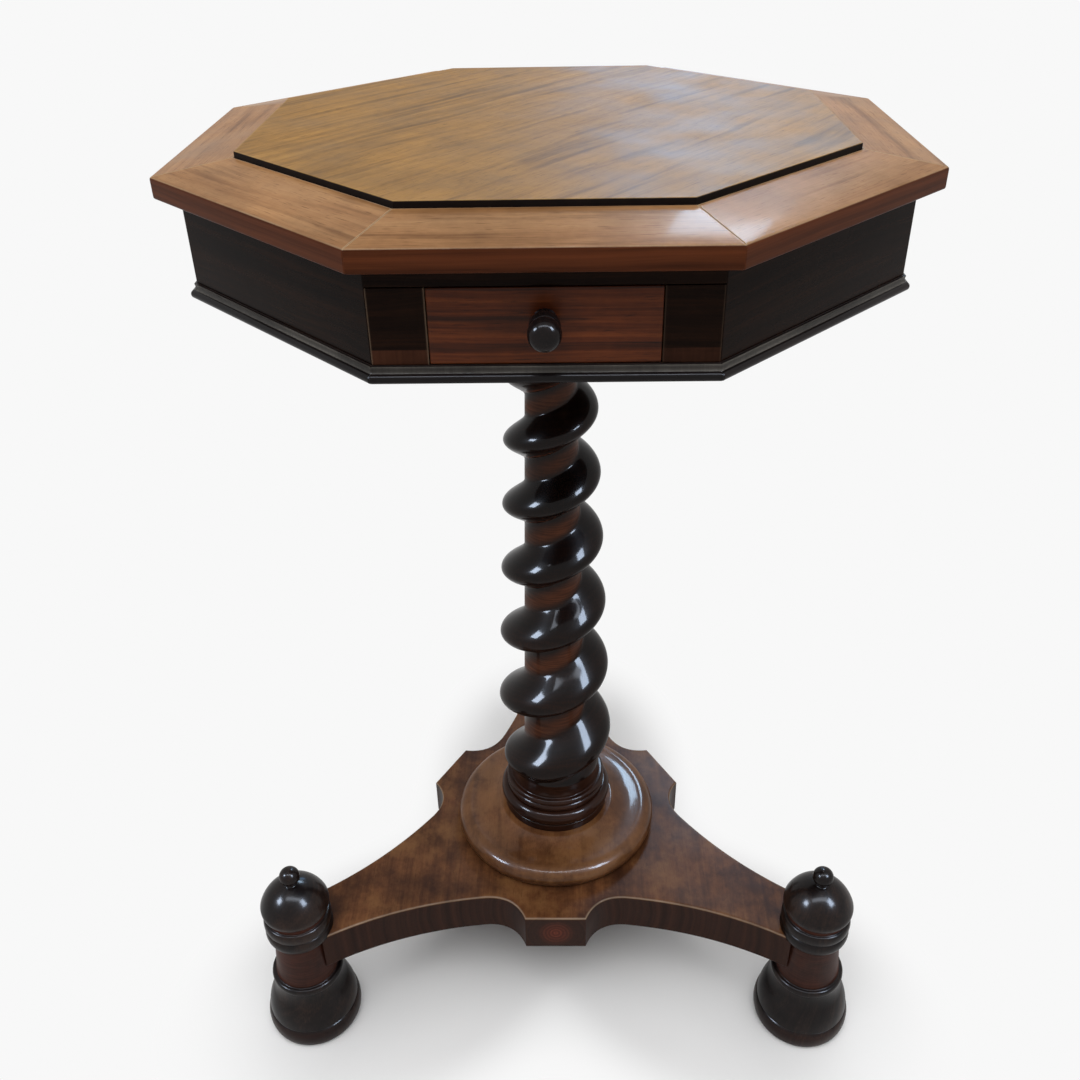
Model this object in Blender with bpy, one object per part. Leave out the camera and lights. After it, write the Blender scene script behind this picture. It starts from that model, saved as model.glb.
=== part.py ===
"""Lamp table: an octagonal top with a frieze drawer, on a barley-twist column and a three-armed base.

Sizes are in metres. +Z is up, the drawer opens to -Y, and pieces are laid out round the column's axis.
"""

import math

import bmesh
import bpy
from mathutils import Matrix, Vector

# Fits
JOINT_GAP = 0.0003
SLIDE_CLEARANCE = 0.0005

# Top
OVERALL_HEIGHT = 0.7292
TOP_WIDTH = 0.4430
TOP_EDGE = 0.0122
TOP_ARRIS = 0.0013
BORDER_WIDTH = 0.0440
BORDER_RISE = 0.0060
PANEL_PROUD = 0.0032
PANEL_THICKNESS = 0.0080
PANEL_ARRIS = 0.0007

# Frieze box
FRIEZE_INSET = 0.0133
FRIEZE_HEIGHT = 0.0504
FRIEZE_THICKNESS = 0.0120
FRONT_RAIL_HEIGHT = 0.0104
BOARD_THICKNESS = 0.0088
MOULDING_PROJECTION = 0.0043
MOULDING_FILLET = 0.0014
MOULDING_HOLLOW = 0.0005
MOULDING_BEAD = 0.0052

# Drawer and what it runs between
DRAWER_WIDTH = 0.1142
DRAWER_LENGTH = 0.3300
DRAWER_FRONT_THICKNESS = 0.0140
DRAWER_SIDE_THICKNESS = 0.0070
DRAWER_SIDE_DROP = 0.0040
DRAWER_BOTTOM_THICKNESS = 0.0040
GUIDE_WIDTH = 0.0100
GUIDE_HEIGHT = 0.0140
STOP_LENGTH = 0.0140
STOP_WIDTH = 0.0400

# Knob: a neck, a bead and a domed head
KNOB_RISE = 0.0030
KNOB_SEAT_RADIUS = 0.0061
KNOB_NECK_RADIUS = 0.0052
KNOB_NECK_LENGTH = 0.0052
KNOB_NECK_HOLLOW = 0.0006
KNOB_BEAD_RADIUS = 0.0078
KNOB_BEAD_LENGTH = 0.0073
KNOB_GROOVE_RADIUS = 0.0066
KNOB_CHEEK_LENGTH = 0.0056
KNOB_CHEEK_SWELL = 0.0005
KNOB_HEAD_RADIUS = 0.0083
KNOB_HEAD_LENGTH = 0.0069
KNOB_HEAD_SWELL = 0.0018
KNOB_FACE_RADIUS = 0.0025

# Column: turned ends with a twist between them
CAP_RADIUS = 0.0660
CAP_THICKNESS = 0.0140
CAP_LIP = 0.0050
CAP_HOLLOW = 0.0025
COLUMN_HEAD_RADIUS = 0.0345
COLUMN_STEP_RADIUS = 0.0460
COLUMN_STEP_HEIGHT = 0.0072
COLUMN_TORUS_RADIUS = 0.0485
COLUMN_TORUS_EDGE_RADIUS = 0.0430
COLUMN_TORUS_HEIGHT = 0.0138
COLUMN_BEAD_RADIUS = 0.0433
COLUMN_BEAD_EDGE_RADIUS = 0.0412
COLUMN_BEAD_HEIGHT = 0.0063
COLUMN_NECK_RADIUS = 0.0388
COLUMN_NECK_HEIGHT = 0.0134
COLUMN_NECK_HOLLOW = 0.0005
TWIST_TURNS = 6.95
TWIST_PHASE_DEG = 161.0
TWIST_HEAD_RADIUS = 0.0311
TWIST_HEAD_CORE = 0.0174
TWIST_FOOT_RADIUS = 0.0503
TWIST_FOOT_CORE = 0.0274
TWIST_UPPER_SHARE = 0.71
TWIST_LOWER_SHARE = 0.58
TWIST_LOBE_POWER = 1.17
TWIST_RUN_OUT = 0.0200

# Plinth disc
DISC_RADIUS = 0.0891
DISC_CROWN = 0.0240
DISC_SEAT_MARGIN = 0.0050
DISC_DISH = 0.0018
DISC_RIM = 0.0182
DISC_RIM_WIDTH = 0.0110
DISC_RIM_SWELL = 0.0028
DISC_NOSE_HEIGHT = 0.0086
DISC_NOSE_SWELL = 0.0008
DISC_UNDERCUT = 0.0034

# Base board
PLATFORM_HEIGHT = 0.1147
PLATFORM_THICKNESS = 0.0375
PLATFORM_ARRIS = 0.0012
LUG_REACH = 0.1186
LUG_HALF_WIDTH = 0.0255
SCOOP_DEPTH = 0.0075
ARM_ROOT_REACH = 0.1002
ARM_ROOT_HALF_WIDTH = 0.0537
ARM_END_HALF_WIDTH = 0.0232

# Feet: a rim, a bell, a ring, a tapering body, a collar of two beads, a neck, a dome and a button
FOOT_CIRCLE_RADIUS = 0.2480
FOOT_BASE_RADIUS = 0.0402
FOOT_SOLE_RADIUS = 0.0367
FOOT_RIM_HEIGHT = 0.0188
FOOT_BELL_RADIUS = 0.0380
FOOT_BELL_SWELL = 0.0015
FOOT_WAIST_RADIUS = 0.0313
FOOT_WAIST_HEIGHT = 0.0410
FOOT_WAIST_HOLLOW = 0.0011
FOOT_BELL_HEIGHT = 0.0570
FOOT_RING_RADIUS = 0.0302
FOOT_RING_EDGE_RADIUS = 0.0284
FOOT_RING_HEIGHT = 0.0070
FOOT_BODY_FOOT_RADIUS = 0.0265
FOOT_BODY_RADIUS = 0.0223
FOOT_BODY_HEIGHT = 0.0460
FOOT_BODY_HOLLOW = 0.0006
FOOT_COLLAR_RADIUS = 0.0279
FOOT_COLLAR_EDGE_RADIUS = 0.0258
FOOT_COLLAR_HEIGHT = 0.0220
FOOT_NECK_RADIUS = 0.0247
FOOT_NECK_HEIGHT = 0.0065
FOOT_DOME_RADIUS = 0.0268
FOOT_DOME_HEIGHT = 0.0280
FOOT_DOME_SWELL = 0.0024
FOOT_LIP_RADIUS = 0.0272
FOOT_LIP_HEIGHT = 0.0080
FOOT_LIP_SWELL = 0.0010
FOOT_BUTTON_RADIUS = 0.0083
FOOT_BUTTON_HEIGHT = 0.0160
FOOT_BUTTON_NECK_RADIUS = 0.0048
FOOT_BUTTON_NECK_HEIGHT = 0.0015

# Smoothness of the curved pieces
FOOT_SEGMENTS = 24
DISC_SEGMENTS = 40
CAP_SEGMENTS = 32
KNOB_SEGMENTS = 20
COLUMN_SEGMENTS = 24
COLUMN_ROWS_PER_TURN = 12
ARM_STEPS = 7
SHARP_ANGLE_DEG = 50

# Levels worked out from the sizes
RIM_TOP = OVERALL_HEIGHT - PANEL_PROUD - BORDER_RISE
RIM_BOTTOM = RIM_TOP - TOP_EDGE
PANEL_BOTTOM = OVERALL_HEIGHT - PANEL_THICKNESS
FRIEZE_TOP = RIM_BOTTOM - JOINT_GAP
FRIEZE_BOTTOM = FRIEZE_TOP - FRIEZE_HEIGHT
FRONT_RAIL_BOTTOM = FRIEZE_TOP - FRONT_RAIL_HEIGHT
BOARD_TOP = FRIEZE_BOTTOM - JOINT_GAP
BOARD_BOTTOM = BOARD_TOP - BOARD_THICKNESS
CAP_BOTTOM = BOARD_BOTTOM - JOINT_GAP - CAP_THICKNESS
COLUMN_TOP = CAP_BOTTOM - JOINT_GAP
DISC_BOTTOM = PLATFORM_HEIGHT + JOINT_GAP
COLUMN_BOTTOM = DISC_BOTTOM + DISC_CROWN + JOINT_GAP
COLUMN_FOOT_HEIGHT = COLUMN_STEP_HEIGHT + COLUMN_TORUS_HEIGHT + 2 * COLUMN_BEAD_HEIGHT + COLUMN_NECK_HEIGHT
HEAD_RATIO = COLUMN_HEAD_RADIUS / COLUMN_TORUS_RADIUS
TWIST_BOTTOM = COLUMN_BOTTOM + COLUMN_FOOT_HEIGHT
TWIST_TOP = COLUMN_TOP - HEAD_RATIO * COLUMN_FOOT_HEIGHT
DRAWER_BASE = BOARD_TOP + SLIDE_CLEARANCE
DRAWER_HEIGHT = FRONT_RAIL_BOTTOM - SLIDE_CLEARANCE - DRAWER_BASE

# Half widths across the flats, measured from the column's axis
TOP_HALF = TOP_WIDTH / 2
PANEL_HALF = TOP_HALF - BORDER_WIDTH
FRIEZE_HALF = TOP_HALF - FRIEZE_INSET
FRIEZE_INNER = FRIEZE_HALF - FRIEZE_THICKNESS
DRAWER_HALF = DRAWER_WIDTH / 2
DRAWER_SIDE_INNER = DRAWER_HALF - DRAWER_SIDE_THICKNESS
OPENING_HALF = DRAWER_HALF + SLIDE_CLEARANCE

# The footprint runs from the knob to the back foot, and the column stands forward of its middle
KNOB_LENGTH = KNOB_NECK_LENGTH + KNOB_BEAD_LENGTH + KNOB_CHEEK_LENGTH + KNOB_HEAD_LENGTH
FRONT_REACH = max(TOP_HALF, FRIEZE_HALF + JOINT_GAP + KNOB_LENGTH)
BACK_REACH = max(TOP_HALF, FOOT_CIRCLE_RADIUS + FOOT_BASE_RADIUS)
AXIS_Y = (FRONT_REACH - BACK_REACH) / 2

# Directions round the column
SIDE_NAMES = ("front", "front_right", "right", "back_right", "back", "back_left", "left", "front_left")
MITRE = math.pi / len(SIDE_NAMES)
FOOT_DIRECTIONS = (("foot_back", 90), ("foot_left", 210), ("foot_right", 330))
HALF_SECTOR = math.pi / len(FOOT_DIRECTIONS)


def clear_scene():
    """Empty the scene."""
    for item in list(bpy.data.objects):
        bpy.data.objects.remove(item, do_unlink=True)


def carrier(name, location, parent=None):
    """An empty that carries pieces."""
    made = bpy.data.objects.new(name, None)
    made.location = location
    made.parent = parent
    bpy.context.scene.collection.objects.link(made)
    return made


def wood(name, colour, roughness):
    """A plain wood or polish colour."""
    made = bpy.data.materials.new(name)
    made.use_nodes = True
    shader = made.node_tree.nodes["Principled BSDF"]
    shader.inputs["Base Color"].default_value = (*colour, 1.0)
    shader.inputs["Roughness"].default_value = roughness
    return made


def loft(name, rings, material, parent, place=Matrix()):
    """A closed piece through rings of points, capped flat at the first and the last."""
    mesh = bmesh.new()
    made = [[mesh.verts.new(point) for point in ring] for ring in rings]
    for upper, lower in zip(made, made[1:]):
        for index in range(len(upper)):
            mesh.faces.new((upper[index - 1], upper[index], lower[index], lower[index - 1]))
    mesh.faces.new(made[0])
    mesh.faces.new(made[-1])
    bmesh.ops.recalc_face_normals(mesh, faces=mesh.faces)
    data = bpy.data.meshes.new(name)
    mesh.to_mesh(data)
    mesh.free()
    data.materials.append(material)
    piece = bpy.data.objects.new(name, data)
    bpy.context.scene.collection.objects.link(piece)
    piece.parent = parent
    piece.matrix_local = place
    return piece


def smoothed(piece):
    """A round piece shaded smooth, but for its sharp arrises."""
    piece.data.shade_smooth()
    piece.data.set_sharp_from_angle(angle=math.radians(SHARP_ANGLE_DEG))
    return piece


def block(name, low, high, material, parent):
    """A square-edged block between two corners."""
    corners = ((low[0], low[1]), (high[0], low[1]), (high[0], high[1]), (low[0], high[1]))
    rings = [[(x, y, z) for x, y in corners] for z in (high[2], low[2])]
    return loft(name, rings, material, parent)


def octagon(half, z):
    """Corner points of a level octagon with one flat to the front."""
    radius = half / math.cos(MITRE)
    angles = [MITRE * (2 * index + 1) for index in range(len(SIDE_NAMES))]
    return [(radius * math.cos(a), radius * math.sin(a), z) for a in angles]


def mitred(name, side, section, material, parent, start=None, end=None):
    """A length of moulding on one side, from mitre to mitre or to a square end where one is given."""
    rings = []
    for square, sign in ((start, -1), (end, 1)):
        ring = []
        for out, z in section:
            mitre = out * math.tan(MITRE) - JOINT_GAP / 2 / math.cos(MITRE)
            along = sign * mitre if square is None else square
            ring.append((along, -out, z))
        rings.append(ring)
    return loft(name, rings, material, parent, Matrix.Rotation(2 * MITRE * side, 4, "Z"))


def rectangle(inner, outer, low, high):
    """Section of a plain board."""
    return ((inner, low), (outer, low), (outer, high), (inner, high))


def bow(start, end, depth, steps=4):
    """Points after the start of a curve to its end, bowed outwards by a depth, or inwards if negative."""
    run = Vector(end) - Vector(start)
    outward = Vector((-run.y, run.x)).normalized()
    points = []
    for step in range(1, steps + 1):
        share = step / steps
        point = Vector(start) + run * share + outward * depth * 4 * share * (1 - share)
        points.append((point.x, point.y))
    return points


def bead(edge, crown, high, low, steps=4):
    """Points of a half-round bead, from its upper edge to its lower one."""
    points = []
    for step in range(steps + 1):
        angle = math.pi * step / steps
        z = (high + low) / 2 + (high - low) / 2 * math.cos(angle)
        points.append((edge + (crown - edge) * math.sin(angle), z))
    return points


def turned(name, outline, segments, material, parent, place=Matrix()):
    """A solid turned about its own axis from an outline that runs down its outer side."""
    angles = [2 * math.pi * index / segments for index in range(segments)]
    rings = [[(r * math.cos(a), r * math.sin(a), z) for a in angles] for r, z in outline]
    return smoothed(loft(name, rings, material, parent, place))


def grown(outline, margin):
    """An outline moved outwards along its own normals."""
    moved = []
    for index, (radius, z) in enumerate(outline):
        before = Vector(outline[max(index - 1, 0)])
        after = Vector(outline[min(index + 1, len(outline) - 1)])
        run = (after - before).normalized()
        moved.append((radius - run.y * margin, z + run.x * margin))
    return moved


def foot_outline():
    """Outline of a foot, from the button down to the sole."""
    ring_high = FOOT_BELL_HEIGHT + FOOT_RING_HEIGHT
    collar_low = ring_high + FOOT_BODY_HEIGHT
    collar_middle = collar_low + FOOT_COLLAR_HEIGHT / 2
    collar_high = collar_low + FOOT_COLLAR_HEIGHT
    dome_low = collar_high + FOOT_NECK_HEIGHT
    dome_high = dome_low + FOOT_DOME_HEIGHT
    button_low = dome_high + FOOT_BUTTON_NECK_HEIGHT
    button_half = FOOT_BUTTON_HEIGHT / 2
    sweep = math.pi - math.asin(FOOT_BUTTON_NECK_RADIUS / FOOT_BUTTON_RADIUS)
    button_middle = button_low - button_half * math.cos(sweep)
    points = []
    for step in range(1, 7):
        angle = sweep * step / 6
        points.append((FOOT_BUTTON_RADIUS * math.sin(angle), button_middle + button_half * math.cos(angle)))
    points.append((FOOT_BUTTON_NECK_RADIUS, dome_high))
    points += bow(points[-1], (FOOT_LIP_RADIUS, dome_low + FOOT_LIP_HEIGHT), FOOT_DOME_SWELL, 6)
    points += bow(points[-1], (FOOT_DOME_RADIUS, dome_low), FOOT_LIP_SWELL, 3)
    points.append((FOOT_NECK_RADIUS, dome_low))
    points.append((FOOT_NECK_RADIUS, collar_high))
    points += bead(FOOT_COLLAR_EDGE_RADIUS, FOOT_COLLAR_RADIUS, collar_high, collar_middle)
    points += bead(FOOT_COLLAR_EDGE_RADIUS, FOOT_COLLAR_RADIUS, collar_middle, collar_low)[1:]
    points.append((FOOT_BODY_RADIUS, collar_low))
    points += bow(points[-1], (FOOT_BODY_FOOT_RADIUS, ring_high), -FOOT_BODY_HOLLOW)
    points += bead(FOOT_RING_EDGE_RADIUS, FOOT_RING_RADIUS, ring_high, FOOT_BELL_HEIGHT)
    points += bow(points[-1], (FOOT_WAIST_RADIUS, FOOT_WAIST_HEIGHT), -FOOT_WAIST_HOLLOW, 3)
    points += bow(points[-1], (FOOT_BELL_RADIUS, FOOT_RIM_HEIGHT), FOOT_BELL_SWELL)
    points += bead(FOOT_SOLE_RADIUS, FOOT_BASE_RADIUS, FOOT_RIM_HEIGHT, 0.0)
    return points


def disc_outline():
    """Outline of the plinth disc: a seat, a shallow dish and a bull-nosed rim."""
    seat = (COLUMN_STEP_RADIUS + DISC_SEAT_MARGIN, DISC_CROWN)
    rim = (DISC_RADIUS - DISC_RIM_WIDTH, DISC_RIM)
    nose = (DISC_RADIUS, DISC_NOSE_HEIGHT)
    points = [seat]
    points += bow(seat, rim, -DISC_DISH)
    points += bow(rim, nose, DISC_RIM_SWELL)
    points += bow(nose, (DISC_RADIUS - DISC_UNDERCUT, 0.0), DISC_NOSE_SWELL, 2)
    return points


def cap_outline():
    """Outline of the cap: a plain lip over a hollow."""
    lip = (CAP_RADIUS, CAP_THICKNESS - CAP_LIP)
    points = [(CAP_RADIUS, CAP_THICKNESS), lip]
    points += bow(lip, (CAP_RADIUS - lip[1], 0.0), -CAP_HOLLOW)
    return points


def knob_outline():
    """Outline of the knob, from its face back to the drawer."""
    groove = (KNOB_GROOVE_RADIUS, KNOB_NECK_LENGTH + KNOB_BEAD_LENGTH)
    widest = (KNOB_HEAD_RADIUS, groove[1] + KNOB_CHEEK_LENGTH)
    neck = (KNOB_NECK_RADIUS, KNOB_NECK_LENGTH)
    points = [(KNOB_FACE_RADIUS, KNOB_LENGTH)]
    points += bow(points[0], widest, KNOB_HEAD_SWELL)
    points += bow(widest, groove, KNOB_CHEEK_SWELL, 2)
    points += bead(KNOB_GROOVE_RADIUS, KNOB_BEAD_RADIUS, groove[1], neck[1])[1:]
    points.append(neck)
    points += bow(neck, (KNOB_SEAT_RADIUS, 0.0), -KNOB_NECK_HOLLOW, 3)
    return points


def column_end_outline():
    """Outline of the column's foot from the top down: a neck, twin beads, a torus and a step."""
    neck_low = COLUMN_FOOT_HEIGHT - COLUMN_NECK_HEIGHT
    beads_middle = neck_low - COLUMN_BEAD_HEIGHT
    torus_high = beads_middle - COLUMN_BEAD_HEIGHT
    points = [(COLUMN_NECK_RADIUS, COLUMN_FOOT_HEIGHT)]
    points += bow(points[0], (COLUMN_NECK_RADIUS, neck_low), -COLUMN_NECK_HOLLOW, 2)
    points += bead(COLUMN_BEAD_EDGE_RADIUS, COLUMN_BEAD_RADIUS, neck_low, beads_middle)
    points += bead(COLUMN_BEAD_EDGE_RADIUS, COLUMN_BEAD_RADIUS, beads_middle, torus_high)[1:]
    points += bead(COLUMN_TORUS_EDGE_RADIUS, COLUMN_TORUS_RADIUS, torus_high, COLUMN_STEP_HEIGHT, 6)
    points += [(COLUMN_STEP_RADIUS, COLUMN_STEP_HEIGHT), (COLUMN_STEP_RADIUS, 0.0)]
    return points


def tapered(foot_size, head_size, z):
    """A size that changes evenly from the twist's foot to its head."""
    return foot_size + (head_size - foot_size) * (z - TWIST_BOTTOM) / (TWIST_TOP - TWIST_BOTTOM)


def twist_turns(z):
    """Turns made from the foot up to a height, with a pitch that follows the taper."""
    if math.isclose(TWIST_FOOT_RADIUS, TWIST_HEAD_RADIUS):
        return tapered(0.0, TWIST_TURNS, z)
    crest = tapered(TWIST_FOOT_RADIUS, TWIST_HEAD_RADIUS, z)
    return TWIST_TURNS * math.log(TWIST_FOOT_RADIUS / crest) / math.log(TWIST_FOOT_RADIUS / TWIST_HEAD_RADIUS)


def twist_radius(angle, z):
    """Radius of the single strand at an angle: a round lobe, steeper on its underside, then a flat hollow."""
    crest = tapered(TWIST_FOOT_RADIUS, TWIST_HEAD_RADIUS, z)
    core = tapered(TWIST_FOOT_CORE, TWIST_HEAD_CORE, z)
    turn = (angle - math.radians(TWIST_PHASE_DEG)) / (2 * math.pi) - twist_turns(z)
    below = turn - round(turn)
    share = TWIST_LOWER_SHARE if below > 0 else TWIST_UPPER_SHARE
    offset = min(abs(below) * 2 / share, 1.0)
    return core + (crest - core) * max(math.cos(math.pi / 2 * offset), 0.0) ** TWIST_LOBE_POWER


def eased(distance):
    """From 0 at an end of the twist to 1 where its hollow has run out to its full depth."""
    share = min(max(distance / TWIST_RUN_OUT, 0.0), 1.0)
    return share * share * (3 - 2 * share)


def column_piece(material, parent):
    """The column: the foot's turning, the twist, and the same turning thinner at the head."""
    foot = column_end_outline()
    head = [(HEAD_RATIO * radius, HEAD_RATIO * rise) for radius, rise in foot]
    angles = [2 * math.pi * index / COLUMN_SEGMENTS for index in range(COLUMN_SEGMENTS)]
    rows = round(COLUMN_ROWS_PER_TURN * TWIST_TURNS)
    ends = [(radius, COLUMN_TOP - drop) for radius, drop in reversed(head)]
    rings = [[(r * math.cos(a), r * math.sin(a), z) for a in angles] for r, z in ends]
    for row in range(1, rows):
        z = TWIST_TOP + (TWIST_BOTTOM - TWIST_TOP) * row / rows
        ring = []
        for angle in angles:
            radius = twist_radius(angle, z)
            radius = head[0][0] + (radius - head[0][0]) * eased(TWIST_TOP - z)
            radius = foot[0][0] + (radius - foot[0][0]) * eased(z - TWIST_BOTTOM)
            ring.append((radius * math.cos(angle), radius * math.sin(angle), z))
        rings.append(ring)
    ends = [(radius, COLUMN_BOTTOM + rise) for radius, rise in foot]
    rings += [[(r * math.cos(a), r * math.sin(a), z) for a in angles] for r, z in ends]
    return smoothed(loft("column", rings, material, parent))


def platform_half_sector():
    """Plan of half a lug and half an arm, from the lug's corner round to the arm's end."""
    along = Vector((math.cos(HALF_SECTOR), math.sin(HALF_SECTOR)))
    across = Vector((along.y, -along.x))
    corner = Vector((LUG_REACH, LUG_HALF_WIDTH))
    cusp = along * ARM_ROOT_REACH + across * ARM_ROOT_HALF_WIDTH
    points = [corner] + [Vector(point) for point in bow(corner, cusp, SCOOP_DEPTH, 6)]
    reach = FOOT_CIRCLE_RADIUS - FOOT_BODY_RADIUS / 2
    for step in range(1, ARM_STEPS + 1):
        share = step / ARM_STEPS
        at = ARM_ROOT_REACH + (reach - ARM_ROOT_REACH) * share
        spread = (ARM_ROOT_HALF_WIDTH - ARM_END_HALF_WIDTH) * (1 - share) ** 2
        points.append(along * at + across * (ARM_END_HALF_WIDTH + spread))
    return points


def platform_plan(inset):
    """The whole plan, a lug and an arm for each foot, drawn in by an inset along its own normals."""
    half = platform_half_sector()
    sector = [Vector((point.x, -point.y)) for point in reversed(half)] + half
    plan = []
    for _, degrees in FOOT_DIRECTIONS:
        turn = Matrix.Rotation(math.radians(degrees) + HALF_SECTOR, 2)
        plan += [turn @ point for point in sector]
    drawn = []
    for index, point in enumerate(plan):
        first = (point - plan[index - 1]).normalized()
        second = (plan[(index + 1) % len(plan)] - point).normalized()
        normal = Vector((first.y + second.y, -first.x - second.x)) / (1 + first.dot(second))
        drawn.append(point - normal * inset)
    return drawn


def platform_piece(material, parent, foot_places):
    """The base board, with each arm's end hollowed to the foot that it meets."""
    bottom = PLATFORM_HEIGHT - PLATFORM_THICKNESS
    levels = (
        (PLATFORM_ARRIS, PLATFORM_HEIGHT),
        (0.0, PLATFORM_HEIGHT - PLATFORM_ARRIS),
        (0.0, bottom + PLATFORM_ARRIS),
        (PLATFORM_ARRIS, bottom),
    )
    rings = [[(p.x, p.y, z) for p in platform_plan(inset)] for inset, z in levels]
    board = loft("platform", rings, material, parent)
    outline = grown(foot_outline(), JOINT_GAP)
    for name, place in foot_places:
        cutter = turned("hollow_for_" + name, outline, FOOT_SEGMENTS, material, parent, place)
        cutter.hide_render = True
        cutter.display_type = "WIRE"
        cut = board.modifiers.new("hollow_" + name, "BOOLEAN")
        cut.operation = "DIFFERENCE"
        cut.solver = "EXACT"
        cut.object = cutter
    return board


def border_section():
    """Section of a border piece: a softened rim, and a top that rises towards the panel."""
    edge = TOP_HALF - TOP_ARRIS
    rise = BORDER_RISE * TOP_ARRIS / BORDER_WIDTH
    return (
        (PANEL_HALF, RIM_BOTTOM),
        (edge, RIM_BOTTOM),
        (TOP_HALF, RIM_BOTTOM + TOP_ARRIS),
        (TOP_HALF, RIM_TOP - TOP_ARRIS),
        (edge, RIM_TOP + rise),
        (PANEL_HALF, RIM_TOP + BORDER_RISE),
    )


def moulding_section():
    """Section of the planted strip: a fillet, a shallow hollow and a bead over a flat underside."""
    inner = FRIEZE_HALF + JOINT_GAP
    outer = FRIEZE_HALF + MOULDING_PROJECTION
    edge = outer - MOULDING_BEAD / 2
    fillet = (inner + MOULDING_FILLET, BOARD_TOP)
    points = [(inner, BOARD_TOP), fillet]
    points += bow(fillet, (edge, BOARD_BOTTOM + MOULDING_BEAD), -MOULDING_HOLLOW, 3)
    points += bead(edge, outer, BOARD_BOTTOM + MOULDING_BEAD, BOARD_BOTTOM, 6)[1:]
    points.append((inner, BOARD_BOTTOM))
    return points


def build_top(table, border, veneer, lining):
    """The octagonal top: core, panel and eight mitred border pieces."""
    half = PANEL_HALF - JOINT_GAP
    core_levels = (PANEL_BOTTOM - JOINT_GAP, RIM_BOTTOM)
    loft("top_core", [octagon(half, z) for z in core_levels], lining, table)
    panel_levels = (
        (half - PANEL_ARRIS, OVERALL_HEIGHT),
        (half, OVERALL_HEIGHT - PANEL_ARRIS),
        (half, PANEL_BOTTOM),
    )
    loft("top_panel", [octagon(across, z) for across, z in panel_levels], veneer, table)
    for side, name in enumerate(SIDE_NAMES):
        mitred("top_border_" + name, side, border_section(), border, table)


def build_box(table, dark, ebony, lining):
    """The frieze: a framed front, seven plain sides, a floor and the planted moulding."""
    wall = rectangle(FRIEZE_INNER, FRIEZE_HALF, FRIEZE_BOTTOM, FRIEZE_TOP)
    rail = rectangle(FRIEZE_INNER, FRIEZE_HALF, FRONT_RAIL_BOTTOM, FRIEZE_TOP)
    stile = rectangle(FRIEZE_INNER, FRIEZE_HALF, FRIEZE_BOTTOM, FRONT_RAIL_BOTTOM - JOINT_GAP)
    mitred("front_top_rail", 0, rail, dark, table)
    mitred("front_stile_left", 0, stile, dark, table, end=-OPENING_HALF)
    mitred("front_stile_right", 0, stile, dark, table, start=OPENING_HALF)
    for side, name in enumerate(SIDE_NAMES):
        if side > 0:
            mitred("frieze_" + name, side, wall, dark, table)
        mitred("moulding_" + name, side, moulding_section(), ebony, table)
    loft("bottom_board", [octagon(FRIEZE_HALF, z) for z in (BOARD_TOP, BOARD_BOTTOM)], lining, table)


def build_drawer(drawer, front, lining, ebony):
    """The drawer, laid out back from the foot of its face."""
    behind = DRAWER_FRONT_THICKNESS + JOINT_GAP
    low = DRAWER_BOTTOM_THICKNESS + JOINT_GAP
    high = DRAWER_HEIGHT - DRAWER_SIDE_DROP
    end = DRAWER_LENGTH
    outer = DRAWER_HALF
    inner = DRAWER_SIDE_INNER
    between = inner - JOINT_GAP
    block("drawer_front", (-outer, 0, 0), (outer, DRAWER_FRONT_THICKNESS, DRAWER_HEIGHT), front, drawer)
    block("drawer_bottom", (-outer, behind, 0), (outer, end, DRAWER_BOTTOM_THICKNESS), lining, drawer)
    block("drawer_side_left", (-outer, behind, low), (-inner, end, high), lining, drawer)
    block("drawer_side_right", (inner, behind, low), (outer, end, high), lining, drawer)
    block("drawer_back", (-between, end - DRAWER_SIDE_THICKNESS, low), (between, end, high), lining, drawer)
    seat = Matrix.Translation((0, -JOINT_GAP, DRAWER_HEIGHT / 2 + KNOB_RISE))
    place = seat @ Matrix.Rotation(math.pi / 2, 4, "X")
    turned("drawer_knob", knob_outline(), KNOB_SEGMENTS, ebony, drawer, place)


def build_runners(table, lining):
    """The guides beside the drawer, the kickers over its sides and the stop behind it."""
    outer = OPENING_HALF + GUIDE_WIDTH
    clear_half = FRIEZE_INNER - JOINT_GAP
    reach = min(clear_half, clear_half * math.sqrt(2) - outer)
    behind_face = -FRIEZE_HALF + DRAWER_FRONT_THICKNESS + SLIDE_CLEARANCE
    kicker_front = max(-reach, behind_face)
    kicker_low = DRAWER_BASE + DRAWER_HEIGHT - DRAWER_SIDE_DROP + SLIDE_CLEARANCE
    guide_high = FRIEZE_BOTTOM + GUIDE_HEIGHT
    for name, sign in (("left", -1), ("right", 1)):
        low, high = sorted((sign * OPENING_HALF, sign * outer))
        block("drawer_guide_" + name, (low, -reach, FRIEZE_BOTTOM), (high, reach, guide_high), lining, table)
        low, high = sorted((sign * DRAWER_SIDE_INNER, sign * outer))
        corner = (low, kicker_front, kicker_low)
        block("drawer_kicker_" + name, corner, (high, reach, FRIEZE_TOP), lining, table)
    stop = DRAWER_LENGTH - FRIEZE_HALF + SLIDE_CLEARANCE
    half = STOP_WIDTH / 2
    block("drawer_stop", (-half, stop, FRIEZE_BOTTOM), (half, stop + STOP_LENGTH, guide_high), lining, table)


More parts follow.
